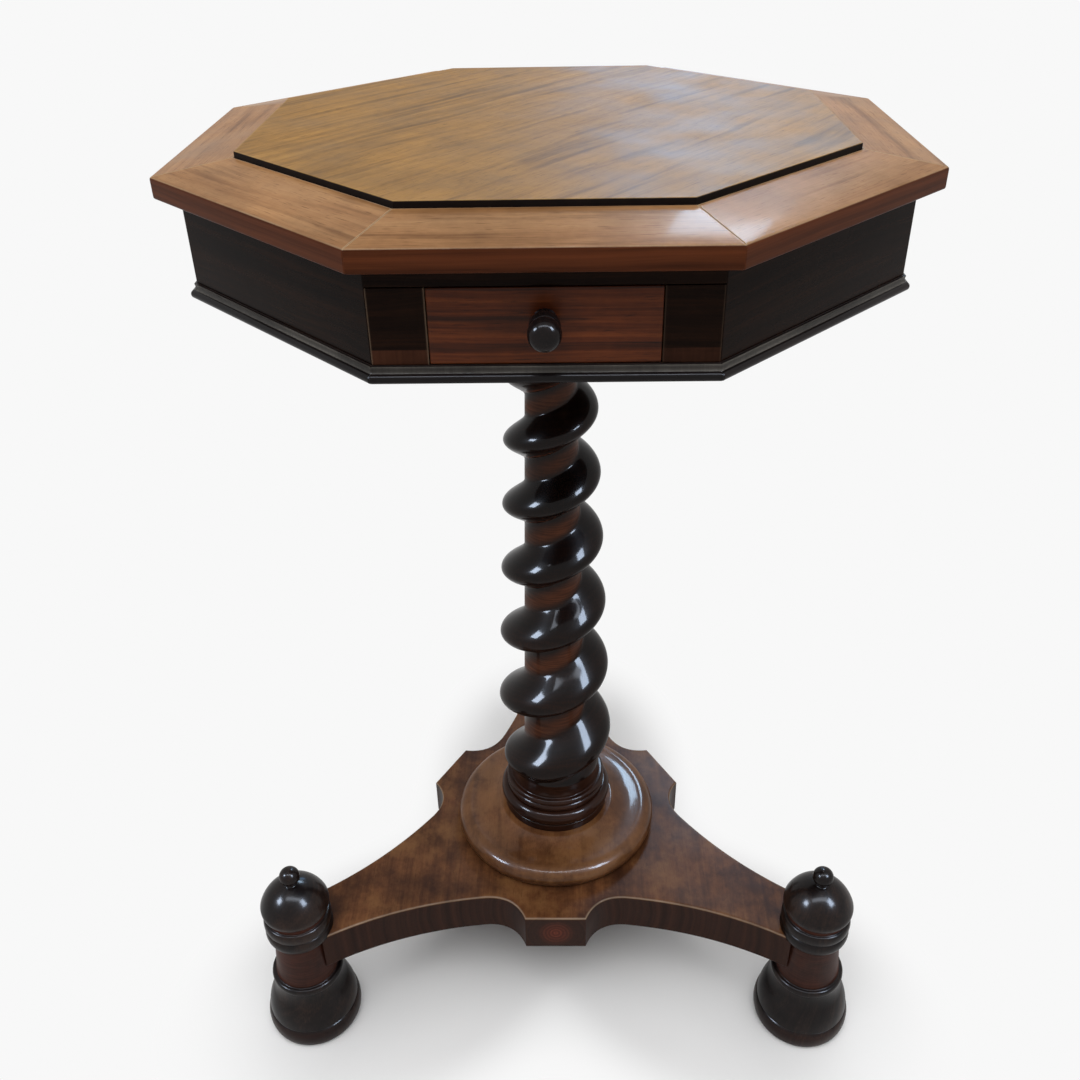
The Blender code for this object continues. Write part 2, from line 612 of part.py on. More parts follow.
def build_stand(table, dark, mid, ebony):
    """The cap, the column, the disc, the base board and the three feet."""
    turned("column_cap", cap_outline(), CAP_SEGMENTS, mid, table, Matrix.Translation((0, 0, CAP_BOTTOM)))
    column_piece(dark, table)
    turned("plinth_disc", disc_outline(), DISC_SEGMENTS, mid, table, Matrix.Translation((0, 0, DISC_BOTTOM)))
    places = []
    for name, degrees in FOOT_DIRECTIONS:
        turn = Matrix.Rotation(math.radians(degrees), 4, "Z")
        places.append((name, turn @ Matrix.Translation((FOOT_CIRCLE_RADIUS, 0, 0))))
    platform_piece(mid, table, places)
    for name, place in places:
        turned(name, foot_outline(), FOOT_SEGMENTS, ebony, table, place)


def main():
    """The whole table."""
    clear_scene()
    table = carrier("lamp_table", (0, AXIS_Y, 0))
    drawer = carrier("drawer", (0, -FRIEZE_HALF, DRAWER_BASE), table)
    dark = wood("dark_rosewood", (0.030, 0.013, 0.009), 0.30)
    red = wood("red_rosewood", (0.075, 0.026, 0.015), 0.30)
    border = wood("border_veneer", (0.120, 0.050, 0.026), 0.28)
    veneer = wood("panel_veneer", (0.190, 0.105, 0.048), 0.30)
    mid = wood("mahogany", (0.100, 0.045, 0.024), 0.32)
    ebony = wood("ebonised_wood", (0.010, 0.008, 0.008), 0.22)
    lining = wood("lining_pine", (0.420, 0.260, 0.120), 0.60)
    build_top(table, border, veneer, lining)
    build_box(table, dark, ebony, lining)
    build_drawer(drawer, red, lining, ebony)
    build_runners(table, lining)
    build_stand(table, dark, mid, ebony)


main()
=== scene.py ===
"""Lamp table in rosewood and mahogany: fine surfaces and finishes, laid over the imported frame.

Sizes are in metres, in the frame's axes: +Z is up and -Y is the front.
"""
import math

import bpy
import numpy as np
from mathutils import Matrix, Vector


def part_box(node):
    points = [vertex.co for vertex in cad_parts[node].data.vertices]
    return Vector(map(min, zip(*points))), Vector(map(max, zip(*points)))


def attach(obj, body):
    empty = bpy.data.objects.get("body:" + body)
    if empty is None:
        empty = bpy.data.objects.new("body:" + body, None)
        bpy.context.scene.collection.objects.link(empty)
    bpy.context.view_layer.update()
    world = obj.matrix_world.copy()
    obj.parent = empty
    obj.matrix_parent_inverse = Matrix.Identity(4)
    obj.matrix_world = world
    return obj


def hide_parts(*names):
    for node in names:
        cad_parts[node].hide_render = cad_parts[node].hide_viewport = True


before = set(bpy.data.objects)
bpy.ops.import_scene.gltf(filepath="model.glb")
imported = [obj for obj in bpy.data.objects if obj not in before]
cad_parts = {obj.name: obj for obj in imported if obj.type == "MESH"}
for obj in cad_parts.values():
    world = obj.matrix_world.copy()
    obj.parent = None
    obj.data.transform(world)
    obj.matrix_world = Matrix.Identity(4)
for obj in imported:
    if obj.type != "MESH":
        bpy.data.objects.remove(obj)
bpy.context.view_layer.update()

MM = 0.001

# Shared sizes, as in the frame's own drawing
JOINT_GAP = 0.0003
SIDES = ("front", "front_right", "right", "back_right", "back", "back_left", "left", "front_left")
MITRE = math.pi / len(SIDES)
AXIS_Y = (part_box("bottom_board")[0].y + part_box("bottom_board")[1].y) / 2
FEET = (("foot_back", 90), ("foot_left", 210), ("foot_right", 330))
FOOT_CIRCLE = 0.2480

# Easing of worked edges
ARRIS = 0.0006
RIM_ARRIS = 0.0016
BOARD_ARRIS = 0.0015
TURNING_SOFTNESS = 0.0007
TURNING_STEP = 0.0006


# Outlines and surfaces

def bow(start, end, depth, count=14):
    """Points from start to end along a parabola that bulges by a depth to the left of its run."""
    start, end = np.asarray(start, float), np.asarray(end, float)
    run = end - start
    outward = np.array([-run[1], run[0]]) / np.hypot(*run)
    share = np.linspace(0, 1, count)[:, None]
    return start + run * share + outward * depth * 4 * share * (1 - share)


def bead(edge, crown, high, low, count=15):
    """Half an ellipse from the upper edge of a bead to its lower one."""
    angle = np.linspace(0, math.pi, count)
    radius = edge + (crown - edge) * np.sin(angle)
    return np.stack([radius, (high + low) / 2 + (high - low) / 2 * np.cos(angle)], 1)


def softened(parts, softness, step):
    """An outline at even steps, each point a bell-weighted mean of its neighbours; its ends stay put."""
    points = np.vstack(parts)
    length = np.r_[0, np.cumsum(np.hypot(*np.diff(points, axis=0).T))]
    at = np.linspace(0, length[-1], int(length[-1] / step) + 2)
    even = np.stack([np.interp(at, length, points[:, axis]) for axis in (0, 1)], 1)
    reach = max(1, round(softness / step))
    weight = np.hanning(2 * reach + 3)[1:-1]
    weight /= weight.sum()
    before = 2 * even[0] - even[reach:0:-1]
    after = 2 * even[-1] - even[-2:-reach - 2:-1]
    padded = np.vstack([before, even, after])
    return np.stack([np.convolve(padded[:, axis], weight, "valid") for axis in (0, 1)], 1)


def eased_loop(corners, radius, count=6):
    """A closed outline whose corners are parabolas of a given reach along both edges."""
    corners = np.asarray(corners, float)
    before = np.roll(corners, 1, 0) - corners
    after = np.roll(corners, -1, 0) - corners
    start = corners + before / np.linalg.norm(before, axis=1, keepdims=True) * radius
    end = corners + after / np.linalg.norm(after, axis=1, keepdims=True) * radius
    share = np.linspace(0, 1, count)[None, :, None]
    near, far = (1 - share) ** 2 * start[:, None], share ** 2 * end[:, None]
    curve = near + 2 * share * (1 - share) * corners[:, None] + far
    return curve.reshape(-1, 2)


def drawn_in(loops, inset):
    """Closed outlines (..., points, 2), counter-clockwise, moved inwards along their corner normals."""
    first = loops - np.roll(loops, 1, -2)
    second = np.roll(loops, -1, -2) - loops
    first = first / np.maximum(np.linalg.norm(first, axis=-1, keepdims=True), 1e-12)
    second = second / np.maximum(np.linalg.norm(second, axis=-1, keepdims=True), 1e-12)
    scale = 1 + (first * second).sum(-1, keepdims=True)
    both = (first + second) / np.maximum(scale, 0.3)
    normal = np.stack([both[..., 1], -both[..., 0]], -1)
    return loops - normal * np.asarray(inset)[..., None, None]


def eased_ends(start, end, reach, count=5):
    """Stations from start to end with a quarter-round at both: positions, and how far each is drawn in."""
    angle = np.linspace(0, math.pi / 2, count)
    along, inset = reach * (1 - np.cos(angle)), reach * (1 - np.sin(angle))
    return np.r_[start + along, end - along[::-1]], np.r_[inset, inset[::-1]]


def enclosed(points, faces):
    """Six times the volume inside four-cornered faces, from middles and normals; negative if turned in."""
    corners = points[faces]
    middle = corners.mean(1)
    area = np.cross(corners[:, 2] - corners[:, 0], corners[:, 3] - corners[:, 1])
    return (middle * area).sum()


def make_piece(name, rings, material, node, body="table", grain=None, marks=None, sharp=38):
    """A closed piece through rings of points (rows, points, 3), with flat ends, standing for a CAD node.

    grain gives the wood's own axes at each point, the first along its fibres. marks holds more values
    for each point, such as how far the polish is rubbed.
    """
    rows, count = rings.shape[:2]
    points = rings.reshape(-1, 3)
    index = np.arange(rows * count).reshape(rows, count)
    upper, lower = index[:-1], index[1:]
    quads = np.stack([upper, lower, np.roll(lower, -1, 1), np.roll(upper, -1, 1)], -1).reshape(-1, 4)
    faces = quads.tolist() + [index[0].tolist(), index[-1][::-1].tolist()]
    if enclosed(points - points.mean(0), quads) <= 0:
        faces = [face[::-1] for face in faces]
    mesh = bpy.data.meshes.new(name)
    mesh.from_pydata(points.tolist(), [], faces)
    mesh.shade_smooth()
    mesh.set_sharp_from_angle(angle=math.radians(sharp))
    mesh.materials.append(material)
    axes = points if grain is None else grain.reshape(-1, 3)
    held = mesh.attributes.new("grain", "FLOAT_VECTOR", "POINT")
    held.data.foreach_set("vector", axes.astype(np.float32).ravel())
    for key, values in (marks or {}).items():
        held = mesh.attributes.new(key, "FLOAT", "POINT")
        spread = np.broadcast_to(values, (rows, count))
        held.data.foreach_set("value", spread.astype(np.float32).ravel())
    piece = bpy.data.objects.new(name, mesh)
    bpy.context.scene.collection.objects.link(piece)
    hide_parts(node)
    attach(piece, body)
    return piece


def spun(outline, segments, centre):
    """Rings of an outline (radius, height) turned about an upright axis through centre."""
    angle = np.linspace(0, 2 * math.pi, segments, endpoint=False)
    radius, height = outline[:, :1], outline[:, 1:]
    x = centre[0] + radius * np.cos(angle)
    y = centre[1] + radius * np.sin(angle)
    return np.stack([x, y, height + np.zeros(segments)], -1)


# Finishes

def linear(hex_colour):
    """A hex sRGB colour as linear red, green, blue and alpha."""
    value = np.array([int(hex_colour[i:i + 2], 16) for i in (1, 3, 5)]) / 255
    value = np.where(value <= 0.04045, value / 12.92, ((value + 0.055) / 1.055) ** 2.4)
    return (*value.tolist(), 1.0)


def node(tree, kind, inputs=None, out=0, stops=None, **settings):
    """Add a node with its settings, its ramp's stops and its sockets' values or links, and give an output.

    Sockets and the output go by name or number.
    """
    made = tree.nodes.new("ShaderNode" + kind)
    for key, value in settings.items():
        setattr(made, key, value)
    for place, (position, colour) in enumerate(stops or ()):
        held = made.color_ramp.elements
        stop = held[place] if place < 2 else held.new(position)
        stop.position, stop.color = position, colour
    for socket, value in (inputs or {}).items():
        if isinstance(value, bpy.types.NodeSocket):
            tree.links.new(value, made.inputs[socket])
        else:
            made.inputs[socket].default_value = value
    return made.outputs[out]


# Where nearly all the values of a noise lie, as a range node's lower and upper limit
NOISE = {1: 0.3, 2: 0.7}
# Stretch of noise along the grain, in turns to the metre along and across it: slow bends of 20 cm by 6 cm,
# fibre bundles of 45 mm by 1.1 mm, streaks of 140 mm by 8 mm, and pores, which are a tenth of a millimetre
# wide and drawn at 11 mm by 0.7 mm so that they show
BEND_STRETCH = (5.0, 16.0, 16.0)
GRAIN_STRETCH = {"fibre": (22, 900, 900), "streak": (7, 125, 125), "pore": (90, 1400, 1400)}
# Tool marks across the fibres, 1 mm wide
TOOL_STRETCH = (950.0, 45.0, 45.0)
FIBRE_SHARE = 0.34
FIGURE_SPREAD = 0.22
WORN_ROUGHNESS = 0.55
HEART_REACH = (0.004, 0.0165)
HEART_RING = 0.003
WOOD_IOR = 1.48
COAT_IOR = 1.5


def polished_wood(name, colours, rings, polish, worn, edge="#140C08", seam="#B09878", heart=None,
                  coords="grain", contrast=1.0, streak=0.0, mottle=0.2, pore=0.8, tooled=0.12, stain=0.0):
    """A French-polished wood.

    rings holds the growth rings' width, the pith's place and the drift along the fibres, in millimetres;
    the rings lie round a pith beside or under the surface. Fibres, streaks and pores are noise drawn out
    along the grain, and clouds at two scales mottle the tone. Dirt and thin polish lie in patches, as
    strong as the stain. Where a piece has a wear mark, the colour goes to the worn one, with tool marks;
    where it has an edge mark, to the edge's own; where it has a seam mark, to the seam's. Near the pith it
    goes to the heart's, in rings. polish holds the wood's roughness and specular level, and the coat's
    weight and roughness.
    """
    made = bpy.data.materials.new(name)
    made.use_nodes = True
    tree = made.node_tree
    shader = tree.nodes["Principled BSDF"]
    if coords == "grain":
        axes = node(tree, "Attribute", out="Vector", attribute_name="grain")
    else:
        axes = node(tree, "TexCoord", out="Object")
    ring_mm, pith_mm, bend_mm = rings
    slow = node(tree, "VectorMath", {0: axes, 1: BEND_STRETCH}, operation="MULTIPLY")
    drift = node(tree, "TexNoise", {"Vector": slow, "Scale": 1.0, "Detail": 2.0}, out="Color")
    level = node(tree, "VectorMath", {0: drift, 1: (0.5, 0.5, 0.5)}, operation="SUBTRACT")
    bend = (0.0, bend_mm * MM, bend_mm * MM)
    bent = node(tree, "VectorMath", {0: level, 1: bend, 2: axes}, operation="MULTIPLY_ADD")
    aside = (0.0, -pith_mm[0] * MM, -pith_mm[1] * MM)
    from_pith = node(tree, "VectorMath", {0: bent, 1: (0.0, 1.0, 1.0), 2: aside}, operation="MULTIPLY_ADD")
    distance = node(tree, "VectorMath", {0: from_pith}, out="Value", operation="LENGTH")
    yearly = {"W": distance, "Scale": 1000 / ring_mm, "Detail": 3.0, "Roughness": 0.6}
    growth = node(tree, "TexNoise", yearly, noise_dimensions="1D")
    drawn = {}
    for kind, stretch in GRAIN_STRETCH.items():
        along = node(tree, "VectorMath", {0: bent, 1: stretch}, operation="MULTIPLY")
        drawn[kind] = node(tree, "TexNoise", {"Vector": along, "Scale": 1.0, "Detail": 2.5})
    pits = node(tree, "MapRange", {"Value": drawn["pore"], 1: 0.60, 2: 0.74})
    clouds = node(tree, "TexNoise", {"Vector": axes, "Scale": 19.0, "Detail": 4.0, "Roughness": 0.55})
    flecks = node(tree, "TexNoise", {"Vector": bent, "Scale": 170.0, "Detail": 3.0, "Roughness": 0.6})
    figure = node(tree, "Mix", {0: FIBRE_SHARE, 2: growth, 3: drawn["fibre"]})
    half = FIGURE_SPREAD / contrast
    spread = node(tree, "MapRange", {"Value": figure, 1: 0.5 - half, 2: 0.5 + half})
    dark, mid, light = (linear(colour) for colour in colours)
    tone = node(tree, "ValToRGB", {0: spread}, stops=[(0.0, dark), (0.5, mid), (1.0, light)])
    stripe = node(tree, "MapRange", {"Value": drawn["streak"], 1: 0.54, 2: 0.70, 3: 0.0, 4: streak})
    streaked = node(tree, "Mix", {0: stripe, 6: tone, 7: dark}, out=2, data_type="RGBA")
    shade = node(tree, "MapRange", {"Value": clouds, **NOISE, 3: 1 - mottle, 4: 1 + mottle})
    fleck = node(tree, "MapRange", {"Value": flecks, **NOISE, 3: 1 - mottle / 3, 4: 1 + mottle / 3})
    both = node(tree, "Math", {0: shade, 1: fleck}, operation="MULTIPLY")
    clouded = node(tree, "VectorMath", {0: streaked, "Scale": both}, operation="SCALE")
    # Old dirt, and polish that is rubbed thin, lie in patches of 4 to 8 cm with ragged edges
    patches = node(tree, "TexNoise", {"Vector": axes, "Scale": 15.0, "Detail": 7.0, "Roughness": 0.68})
    thin = node(tree, "MapRange", {"Value": patches, 1: 0.47, 2: 0.36, 3: 0.0, 4: stain})
    dirt = node(tree, "MapRange", {"Value": patches, 1: 0.47, 2: 0.60, 3: 0.0, 4: stain})
    paler = node(tree, "Mix", {0: thin, 6: clouded, 7: light}, out=2, data_type="RGBA")
    stained = node(tree, "Mix", {0: dirt, 6: paler, 7: dark}, out=2, data_type="RGBA")
    sunk = node(tree, "Math", {0: pits, 1: pore}, operation="MULTIPLY")
    pitted = node(tree, "Mix", {0: sunk, 6: stained, 7: dark}, out=2, data_type="RGBA")
    wear = node(tree, "Attribute", out="Fac", attribute_name="wear")
    patchy = node(tree, "MapRange", {"Value": clouds, 1: 0.32, 2: 0.62, 3: 0.3, 4: 1.0})
    rubbed = node(tree, "Math", {0: wear, 1: patchy}, operation="MULTIPLY")
    across = node(tree, "VectorMath", {0: axes, 1: TOOL_STRETCH}, operation="MULTIPLY")
    tools = node(tree, "TexNoise", {"Vector": across, "Scale": 1.0, "Detail": 2.0})
    marked = node(tree, "MapRange", {"Value": tools, **NOISE, 3: 1 - tooled, 4: 1 + tooled})
    bare = node(tree, "VectorMath", {0: linear(worn)[:3], "Scale": marked}, operation="SCALE")
    worn_tone = node(tree, "Mix", {0: rubbed, 6: pitted, 7: bare}, out=2, data_type="RGBA")
    brink = node(tree, "Attribute", out="Fac", attribute_name="edge")
    grained = node(tree, "MapRange", {"Value": figure, **NOISE, 3: 0.55, 4: 1.55})
    edge_tone = node(tree, "VectorMath", {0: linear(edge)[:3], "Scale": grained}, operation="SCALE")
    edged = node(tree, "Mix", {0: brink, 6: worn_tone, 7: edge_tone}, out=2, data_type="RGBA")
    joint = node(tree, "Attribute", out="Fac", attribute_name="seam")
    shown = node(tree, "Mix", {0: joint, 6: edged, 7: linear(seam)}, out=2, data_type="RGBA")
    if heart:
        # The heart of the log, 3 cm across, with a growth ring every 3 mm that wanders a little
        inner, outer = HEART_REACH
        core = node(tree, "MapRange", {"Value": distance, 1: inner, 2: outer, 3: 0.9, 4: 0.0})
        wander = node(tree, "Math", {0: clouds, 1: 9.0}, operation="MULTIPLY")
        pace = 2 * math.pi / HEART_RING
        turns = node(tree, "Math", {0: distance, 1: pace, 2: wander}, operation="MULTIPLY_ADD")
        wave = node(tree, "Math", {0: turns}, operation="SINE")
        band = node(tree, "MapRange", {"Value": wave, 1: -1.0, 2: 1.0, 3: 0.6, 4: 1.2})
        uneven = node(tree, "Math", {0: band, 1: grained}, operation="MULTIPLY")
        ringed = node(tree, "VectorMath", {0: linear(heart)[:3], "Scale": uneven}, operation="SCALE")
        shown = node(tree, "Mix", {0: core, 6: shown, 7: ringed}, out=2, data_type="RGBA")
    tree.links.new(shown, shader.inputs["Base Color"])
    roughness, specular, coat, coat_roughness = polish
    dull = node(tree, "MapRange", {"Value": clouds, **NOISE, 3: roughness * 0.85, 4: roughness * 1.18})
    matt = node(tree, "Mix", {0: rubbed, 2: dull, 3: WORN_ROUGHNESS})
    tree.links.new(matt, shader.inputs["Roughness"])
    glaze = node(tree, "MapRange", {"Value": rubbed, 3: coat, 4: coat * 0.25})
    tree.links.new(glaze, shader.inputs["Coat Weight"])
    # The polish lies in slow waves of a few hundredths of a millimetre, and sinks a little into the pores
    waves = node(tree, "TexNoise", {"Vector": axes, "Scale": 60.0, "Detail": 1.0})
    relief = node(tree, "Math", {0: pits, 1: -0.05, 2: waves}, operation="MULTIPLY_ADD")
    for height, socket in ((relief, "Normal"), (waves, "Coat Normal")):
        bump = node(tree, "Bump", {"Height": height, "Strength": 0.5, "Distance": 0.00012})
        tree.links.new(bump, shader.inputs[socket])
    shader.inputs["IOR"].default_value = WOOD_IOR
    shader.inputs["Specular IOR Level"].default_value = specular
    shader.inputs["Coat Roughness"].default_value = coat_roughness
    shader.inputs["Coat IOR"].default_value = COAT_IOR
    return made


# Rosewood panel: golden brown, dark streaks, mottled, under an old, uneven shine
PANEL_WOOD = polished_wood(
    "figured_rosewood_veneer", ("#4C3518", "#906A34", "#A67F45"), rings=(9.0, (-60.0, -35.0), 26.0),
    polish=(0.48, 0.05, 0.0, 0.20), worn="#B09468", contrast=0.45, streak=0.55, mottle=0.22, stain=0.16)
# Rosewood border: redder brown, streaks along each length; its rim is darker, and its joints are pale lines
BORDER_WOOD = polished_wood(
    "rosewood_border", ("#5C391D", "#9A7049", "#B0895F"), rings=(5.0, (-30.0, -90.0), 9.0),
    polish=(0.34, 0.02, 0.06, 0.10), worn="#B09A80", edge="#4E2713", contrast=0.6, streak=0.6, mottle=0.18,
    stain=0.18)
# Frieze rosewood: almost black, with a thin polish, and a pale line at some joints
FRIEZE_WOOD = polished_wood(
    "dark_rosewood_veneer", ("#0C0503", "#180C06", "#26140A"), rings=(7.0, (-40.0, -30.0), 16.0),
    polish=(0.26, 0.02, 0.03, 0.09), worn="#402519", seam="#7A6654", streak=0.5)
# Drawer front: dark red-brown with black streaks along its length
DRAWER_WOOD = polished_wood(
    "red_rosewood", ("#1C0B04", "#4E220B", "#6C3616"), rings=(6.0, (-22.0, -26.0), 10.0),
    polish=(0.38, 0.10, 0.05, 0.16), worn="#5A3A28", streak=0.8)
# Mahogany of the base: mid brown and stained, satin, rubbed bare along its arrises, dark on its sides
BASE_WOOD = polished_wood(
    "worn_mahogany", ("#2A150C", "#5F3B22", "#7C5533"), rings=(6.5, (0.0, -19.0), 9.0),
    polish=(0.42, 0.06, 0.05, 0.22), worn="#A8947E", edge="#2C170E", heart="#562618", contrast=0.3,
    streak=0.35, mottle=0.36, pore=0.5, stain=0.7)
# Mahogany of the disc and the cap: the same wood under a brighter polish
DISC_WOOD = polished_wood(
    "polished_mahogany", ("#402413", "#6F482B", "#825A38"), rings=(6.5, (0.0, -40.0), 12.0),
    polish=(0.34, 0.08, 0.22, 0.08), worn="#7A563A", edge="#2A140B", contrast=0.4, streak=0.5, mottle=0.4,
    pore=0.5, stain=0.62)
# Column rosewood: black-brown under a glassy French polish, red-brown and duller down in the hollows
COLUMN_WOOD = polished_wood(
    "french_polished_rosewood", ("#0A0403", "#160A06", "#26130A"), rings=(8.0, (6.0, 9.0), 8.0),
    polish=(0.30, 0.04, 0.21, 0.09), worn="#54301F", seam="#5A2E1C", tooled=0.4)
# Ebonised wood of the mouldings and the knob: stained black, with a clear polish; grey where rubbed, pale
# enough to be a painted highlight too
EBONY_WOOD = polished_wood(
    "ebonised_pearwood", ("#0C0909", "#151010", "#201715"), rings=(7.0, (4.0, 6.0), 6.0),
    polish=(0.28, 0.04, 0.18, 0.12), worn="#6C6862")
# Feet: stained nearly black, hand-rubbed to a soft shine, brown where the stain has gone
FOOT_WOOD = polished_wood(
    "rubbed_ebonised_wood", ("#0C0808", "#1A1210", "#33241D"), rings=(7.0, (4.0, 6.0), 6.0),
    polish=(0.36, 0.04, 0.24, 0.17), worn="#44241A", mottle=0.4, tooled=0.3, stain=0.7)
# Drawer linings: bare pine gone brown
PINE = polished_wood(
    "aged_pine", ("#8A6136", "#B08550", "#C49C66"), rings=(4.0, (-25.0, -18.0), 9.0),
    polish=(0.62, 0.20, 0.0, 0.30), worn="#7A5836")
# Carcase inside the box: the same pine, darker
PINE_CASE = polished_wood(
    "aged_pine_carcase", ("#6E4C2B", "#8F6A3F", "#A37E4E"), rings=(4.0, (-25.0, -18.0), 9.0),
    polish=(0.66, 0.20, 0.0, 0.30), worn="#6A4A2C", coords="object")
# Underside of the box: pine stained dark
PINE_STAINED = polished_wood(
    "stained_pine", ("#1C110B", "#2A1A11", "#3A2618"), rings=(5.0, (-25.0, -18.0), 9.0),
    polish=(0.58, 0.20, 0.0, 0.30), worn="#3A2618", coords="object")


# Top

def octagon(half):
    """Corners of an octagon round the column's axis, from half its width across the flats."""
    angle = MITRE * (2 * np.arange(len(SIDES)) + 1)
    radius = half / math.cos(MITRE)
    return np.stack([radius * np.cos(angle), AXIS_Y + radius * np.sin(angle)], 1)


PANEL_GRAIN_DEG = 52.0


def build_panel():
    """The raised panel: octagons that shrink over a rounded arris, on a straight edge."""
    low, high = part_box("top_panel")
    angle = np.linspace(0, math.pi / 2, 7)
    inset = np.r_[RIM_ARRIS, ARRIS * (1 - np.sin(angle)), 0.0, 0.0]
    level = np.r_[high.z, high.z - ARRIS * (1 - np.cos(angle)), (low.z + high.z) / 2, low.z]
    corners = np.stack([octagon(high.x - step) for step in inset])
    rings = np.concatenate([corners, np.broadcast_to(level[:, None, None], (*corners.shape[:2], 1))], -1)
    turn = math.radians(PANEL_GRAIN_DEG)
    x, y = rings[..., 0], rings[..., 1] - AXIS_Y
    along = x * math.cos(turn) + y * math.sin(turn)
    across = y * math.cos(turn) - x * math.sin(turn)
    grain = np.stack([along, across, rings[..., 2] - high.z], -1)
    # Rubbed where the arris begins, and dark from its middle down
    wear, edge = np.zeros(len(level)), np.zeros(len(level))
    wear[1:4] = 0.35
    edge[5:] = 1.0
    make_piece("veneered_panel", rings, PANEL_WOOD, "top_panel", grain=grain,
               marks={"wear": wear[:, None], "edge": edge[:, None]})


# Shift of the grain from one piece to the next, so that no two match
GRAIN_STEP = np.array([0.731, 0.0137, 0.0091])
# How far a joint's line shows at the rings nearest to it
JOINT_LINE = np.array([1.0, 1.0, 0.7, 0.0])


def side_lengths(name, side, section, material, cad_node, start=None, end=None, wear=None, edge=None,
                 seam=0.0, shift=0.0):
    """A moulded length on one side of the octagon, its section carried from one mitre to the other.

    A point at distance d out from the axis runs d times the tangent of half the corner to either side.
    An end that isn't mitred is given as a square cut instead.
    """
    section = np.asarray(section)
    ease = ARRIS / 2
    reach = section[:, 0] * math.tan(MITRE) - JOINT_GAP / 4
    left = -reach if start is None else np.full(len(reach), start)
    right = reach if end is None else np.full(len(reach), end)
    steps = np.r_[0.0, ease / 2, ease, 3 * ease]
    inset = np.r_[ease, ease / 3, 0.0, 0.0]
    loops = drawn_in(np.broadcast_to(section, (len(steps), *section.shape)), inset)
    first = np.concatenate([(left + steps[:, None])[..., None], loops], -1)
    second = np.concatenate([(right - steps[:, None])[..., None], loops], -1)[::-1]
    frames = np.vstack([first, second])
    turn = 2 * MITRE * side
    along, out, level = frames[..., 0], frames[..., 1], frames[..., 2]
    x = along * math.cos(turn) + out * math.sin(turn)
    y = along * math.sin(turn) - out * math.cos(turn)
    rings = np.stack([x, AXIS_Y + y, level], -1)
    grain = np.stack([along + shift, out, level], -1) + GRAIN_STEP * side
    marks = {"seam": np.r_[JOINT_LINE, JOINT_LINE[::-1]][:, None] * seam}
    if wear is not None:
        marks["wear"] = np.asarray(wear)[None, :]
    if edge is not None:
        marks["edge"] = np.asarray(edge)[None, :]
    make_piece(name, rings, material, cad_node, grain=grain, marks=marks)


TOP_EDGE = 0.0122


def build_border():
    """Eight mitred lengths with a dark rounded rim and a top that rises to a rubbed arris at the panel."""
    low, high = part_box("top_border_right")
    rim_top = low.z + TOP_EDGE
    corners = ((low.x, low.z), (high.x, low.z), (high.x, rim_top), (low.x, high.z))
    reach = np.array([ARRIS, RIM_ARRIS, RIM_ARRIS, RIM_ARRIS])[:, None]
    section = eased_loop(corners, reach)
    # Six points to a corner: under the panel, the rim's lower and upper arrises, the arris at the panel
    wear, edge = np.zeros(len(section)), np.zeros(len(section))
    wear[12:18] = (0.0, 0.25, 0.5, 0.5, 0.25, 0.0)
    wear[19:22] = 0.8
    edge[:15] = 1.0
    for side, name in enumerate(SIDES):
        side_lengths("border_" + name, side, section, BORDER_WOOD, "top_border_" + name, wear=wear,
                     edge=edge, seam=0.7 * (1 - edge))


# Frieze box

STILE_BLOCK = 0.0078
CRISP = 1e-5


def build_frieze():
    """Seven polished sides, and on the front a rail over two stiles that are paler at their feet."""
    low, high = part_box("frieze_right")
    wall = eased_loop(((low.x, low.z), (high.x, low.z), (high.x, high.z), (low.x, high.z)), ARRIS)
    for side, name in enumerate(SIDES):
        if side > 0:
            side_lengths("frieze_side_" + name, side, wall, FRIEZE_WOOD, "frieze_" + name)
    rail_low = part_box("front_top_rail")[0].z
    rail = eased_loop(((low.x, rail_low), (high.x, rail_low), (high.x, high.z), (low.x, high.z)), ARRIS)
    side_lengths("drawer_rail", 0, rail, FRIEZE_WOOD, "front_top_rail", shift=0.3)
    stile_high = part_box("front_stile_left")[1].z
    block = low.z + STILE_BLOCK
    corners = ((low.x, low.z), (high.x, low.z), (high.x, block), (high.x, block + ARRIS / 3),
               (high.x, stile_high), (low.x, stile_high))
    stile = eased_loop(corners, np.array([ARRIS, ARRIS, CRISP, CRISP, ARRIS, ARRIS])[:, None])
    # A paler band at the stiles' feet, below the block's line, carried in the wear attribute
    wear = (stile[:, 1] < block + ARRIS / 6).astype(float)
    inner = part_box("front_stile_right")[0].x
    side_lengths("drawer_stile_left", 0, stile, FRIEZE_WOOD, "front_stile_left", end=-inner, wear=wear,
                 seam=0.6, shift=0.7)
    side_lengths("drawer_stile_right", 0, stile, FRIEZE_WOOD, "front_stile_right", start=inner, wear=wear,
                 seam=0.15, shift=1.1)


MOULDING_FILLET = 0.0014
MOULDING_HOLLOW = 0.0005
MOULDING_BEAD = 0.0052
MOULDING_STEP = 0.0003
MOULDING_RUB_AND_HIGHLIGHT = 0.0005


def build_moulding():
    """Eight planted strips: a fillet rubbed along its arris, where the pale line is partly a painted
    highlight, a shallow hollow and a bead.
    """
    low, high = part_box("moulding_right")
    edge = high.x - MOULDING_BEAD / 2
    fillet = (low.x + MOULDING_FILLET, high.z)
    bead_top = low.z + MOULDING_BEAD
    face = [[(low.x, high.z)], bow(fillet, (edge, bead_top), -MOULDING_HOLLOW),
            bead(edge, high.x, bead_top, low.z)]
    curve = softened(face, ARRIS / 2, MOULDING_STEP)
    section = np.vstack([curve, [(low.x, low.z)]])[::-1]
    # Wear mark along the fillet's arris: rubbed polish, and its pale grey line is also a painted highlight
    wear = np.exp(-((section[:, 0] - fillet[0]) / MOULDING_RUB_AND_HIGHLIGHT) ** 2) * (section[:, 1] > bead_top)
    for side, name in enumerate(SIDES):
        side_lengths("bead_strip_" + name, side, section, EBONY_WOOD, "moulding_" + name, wear=wear)


# Drawer

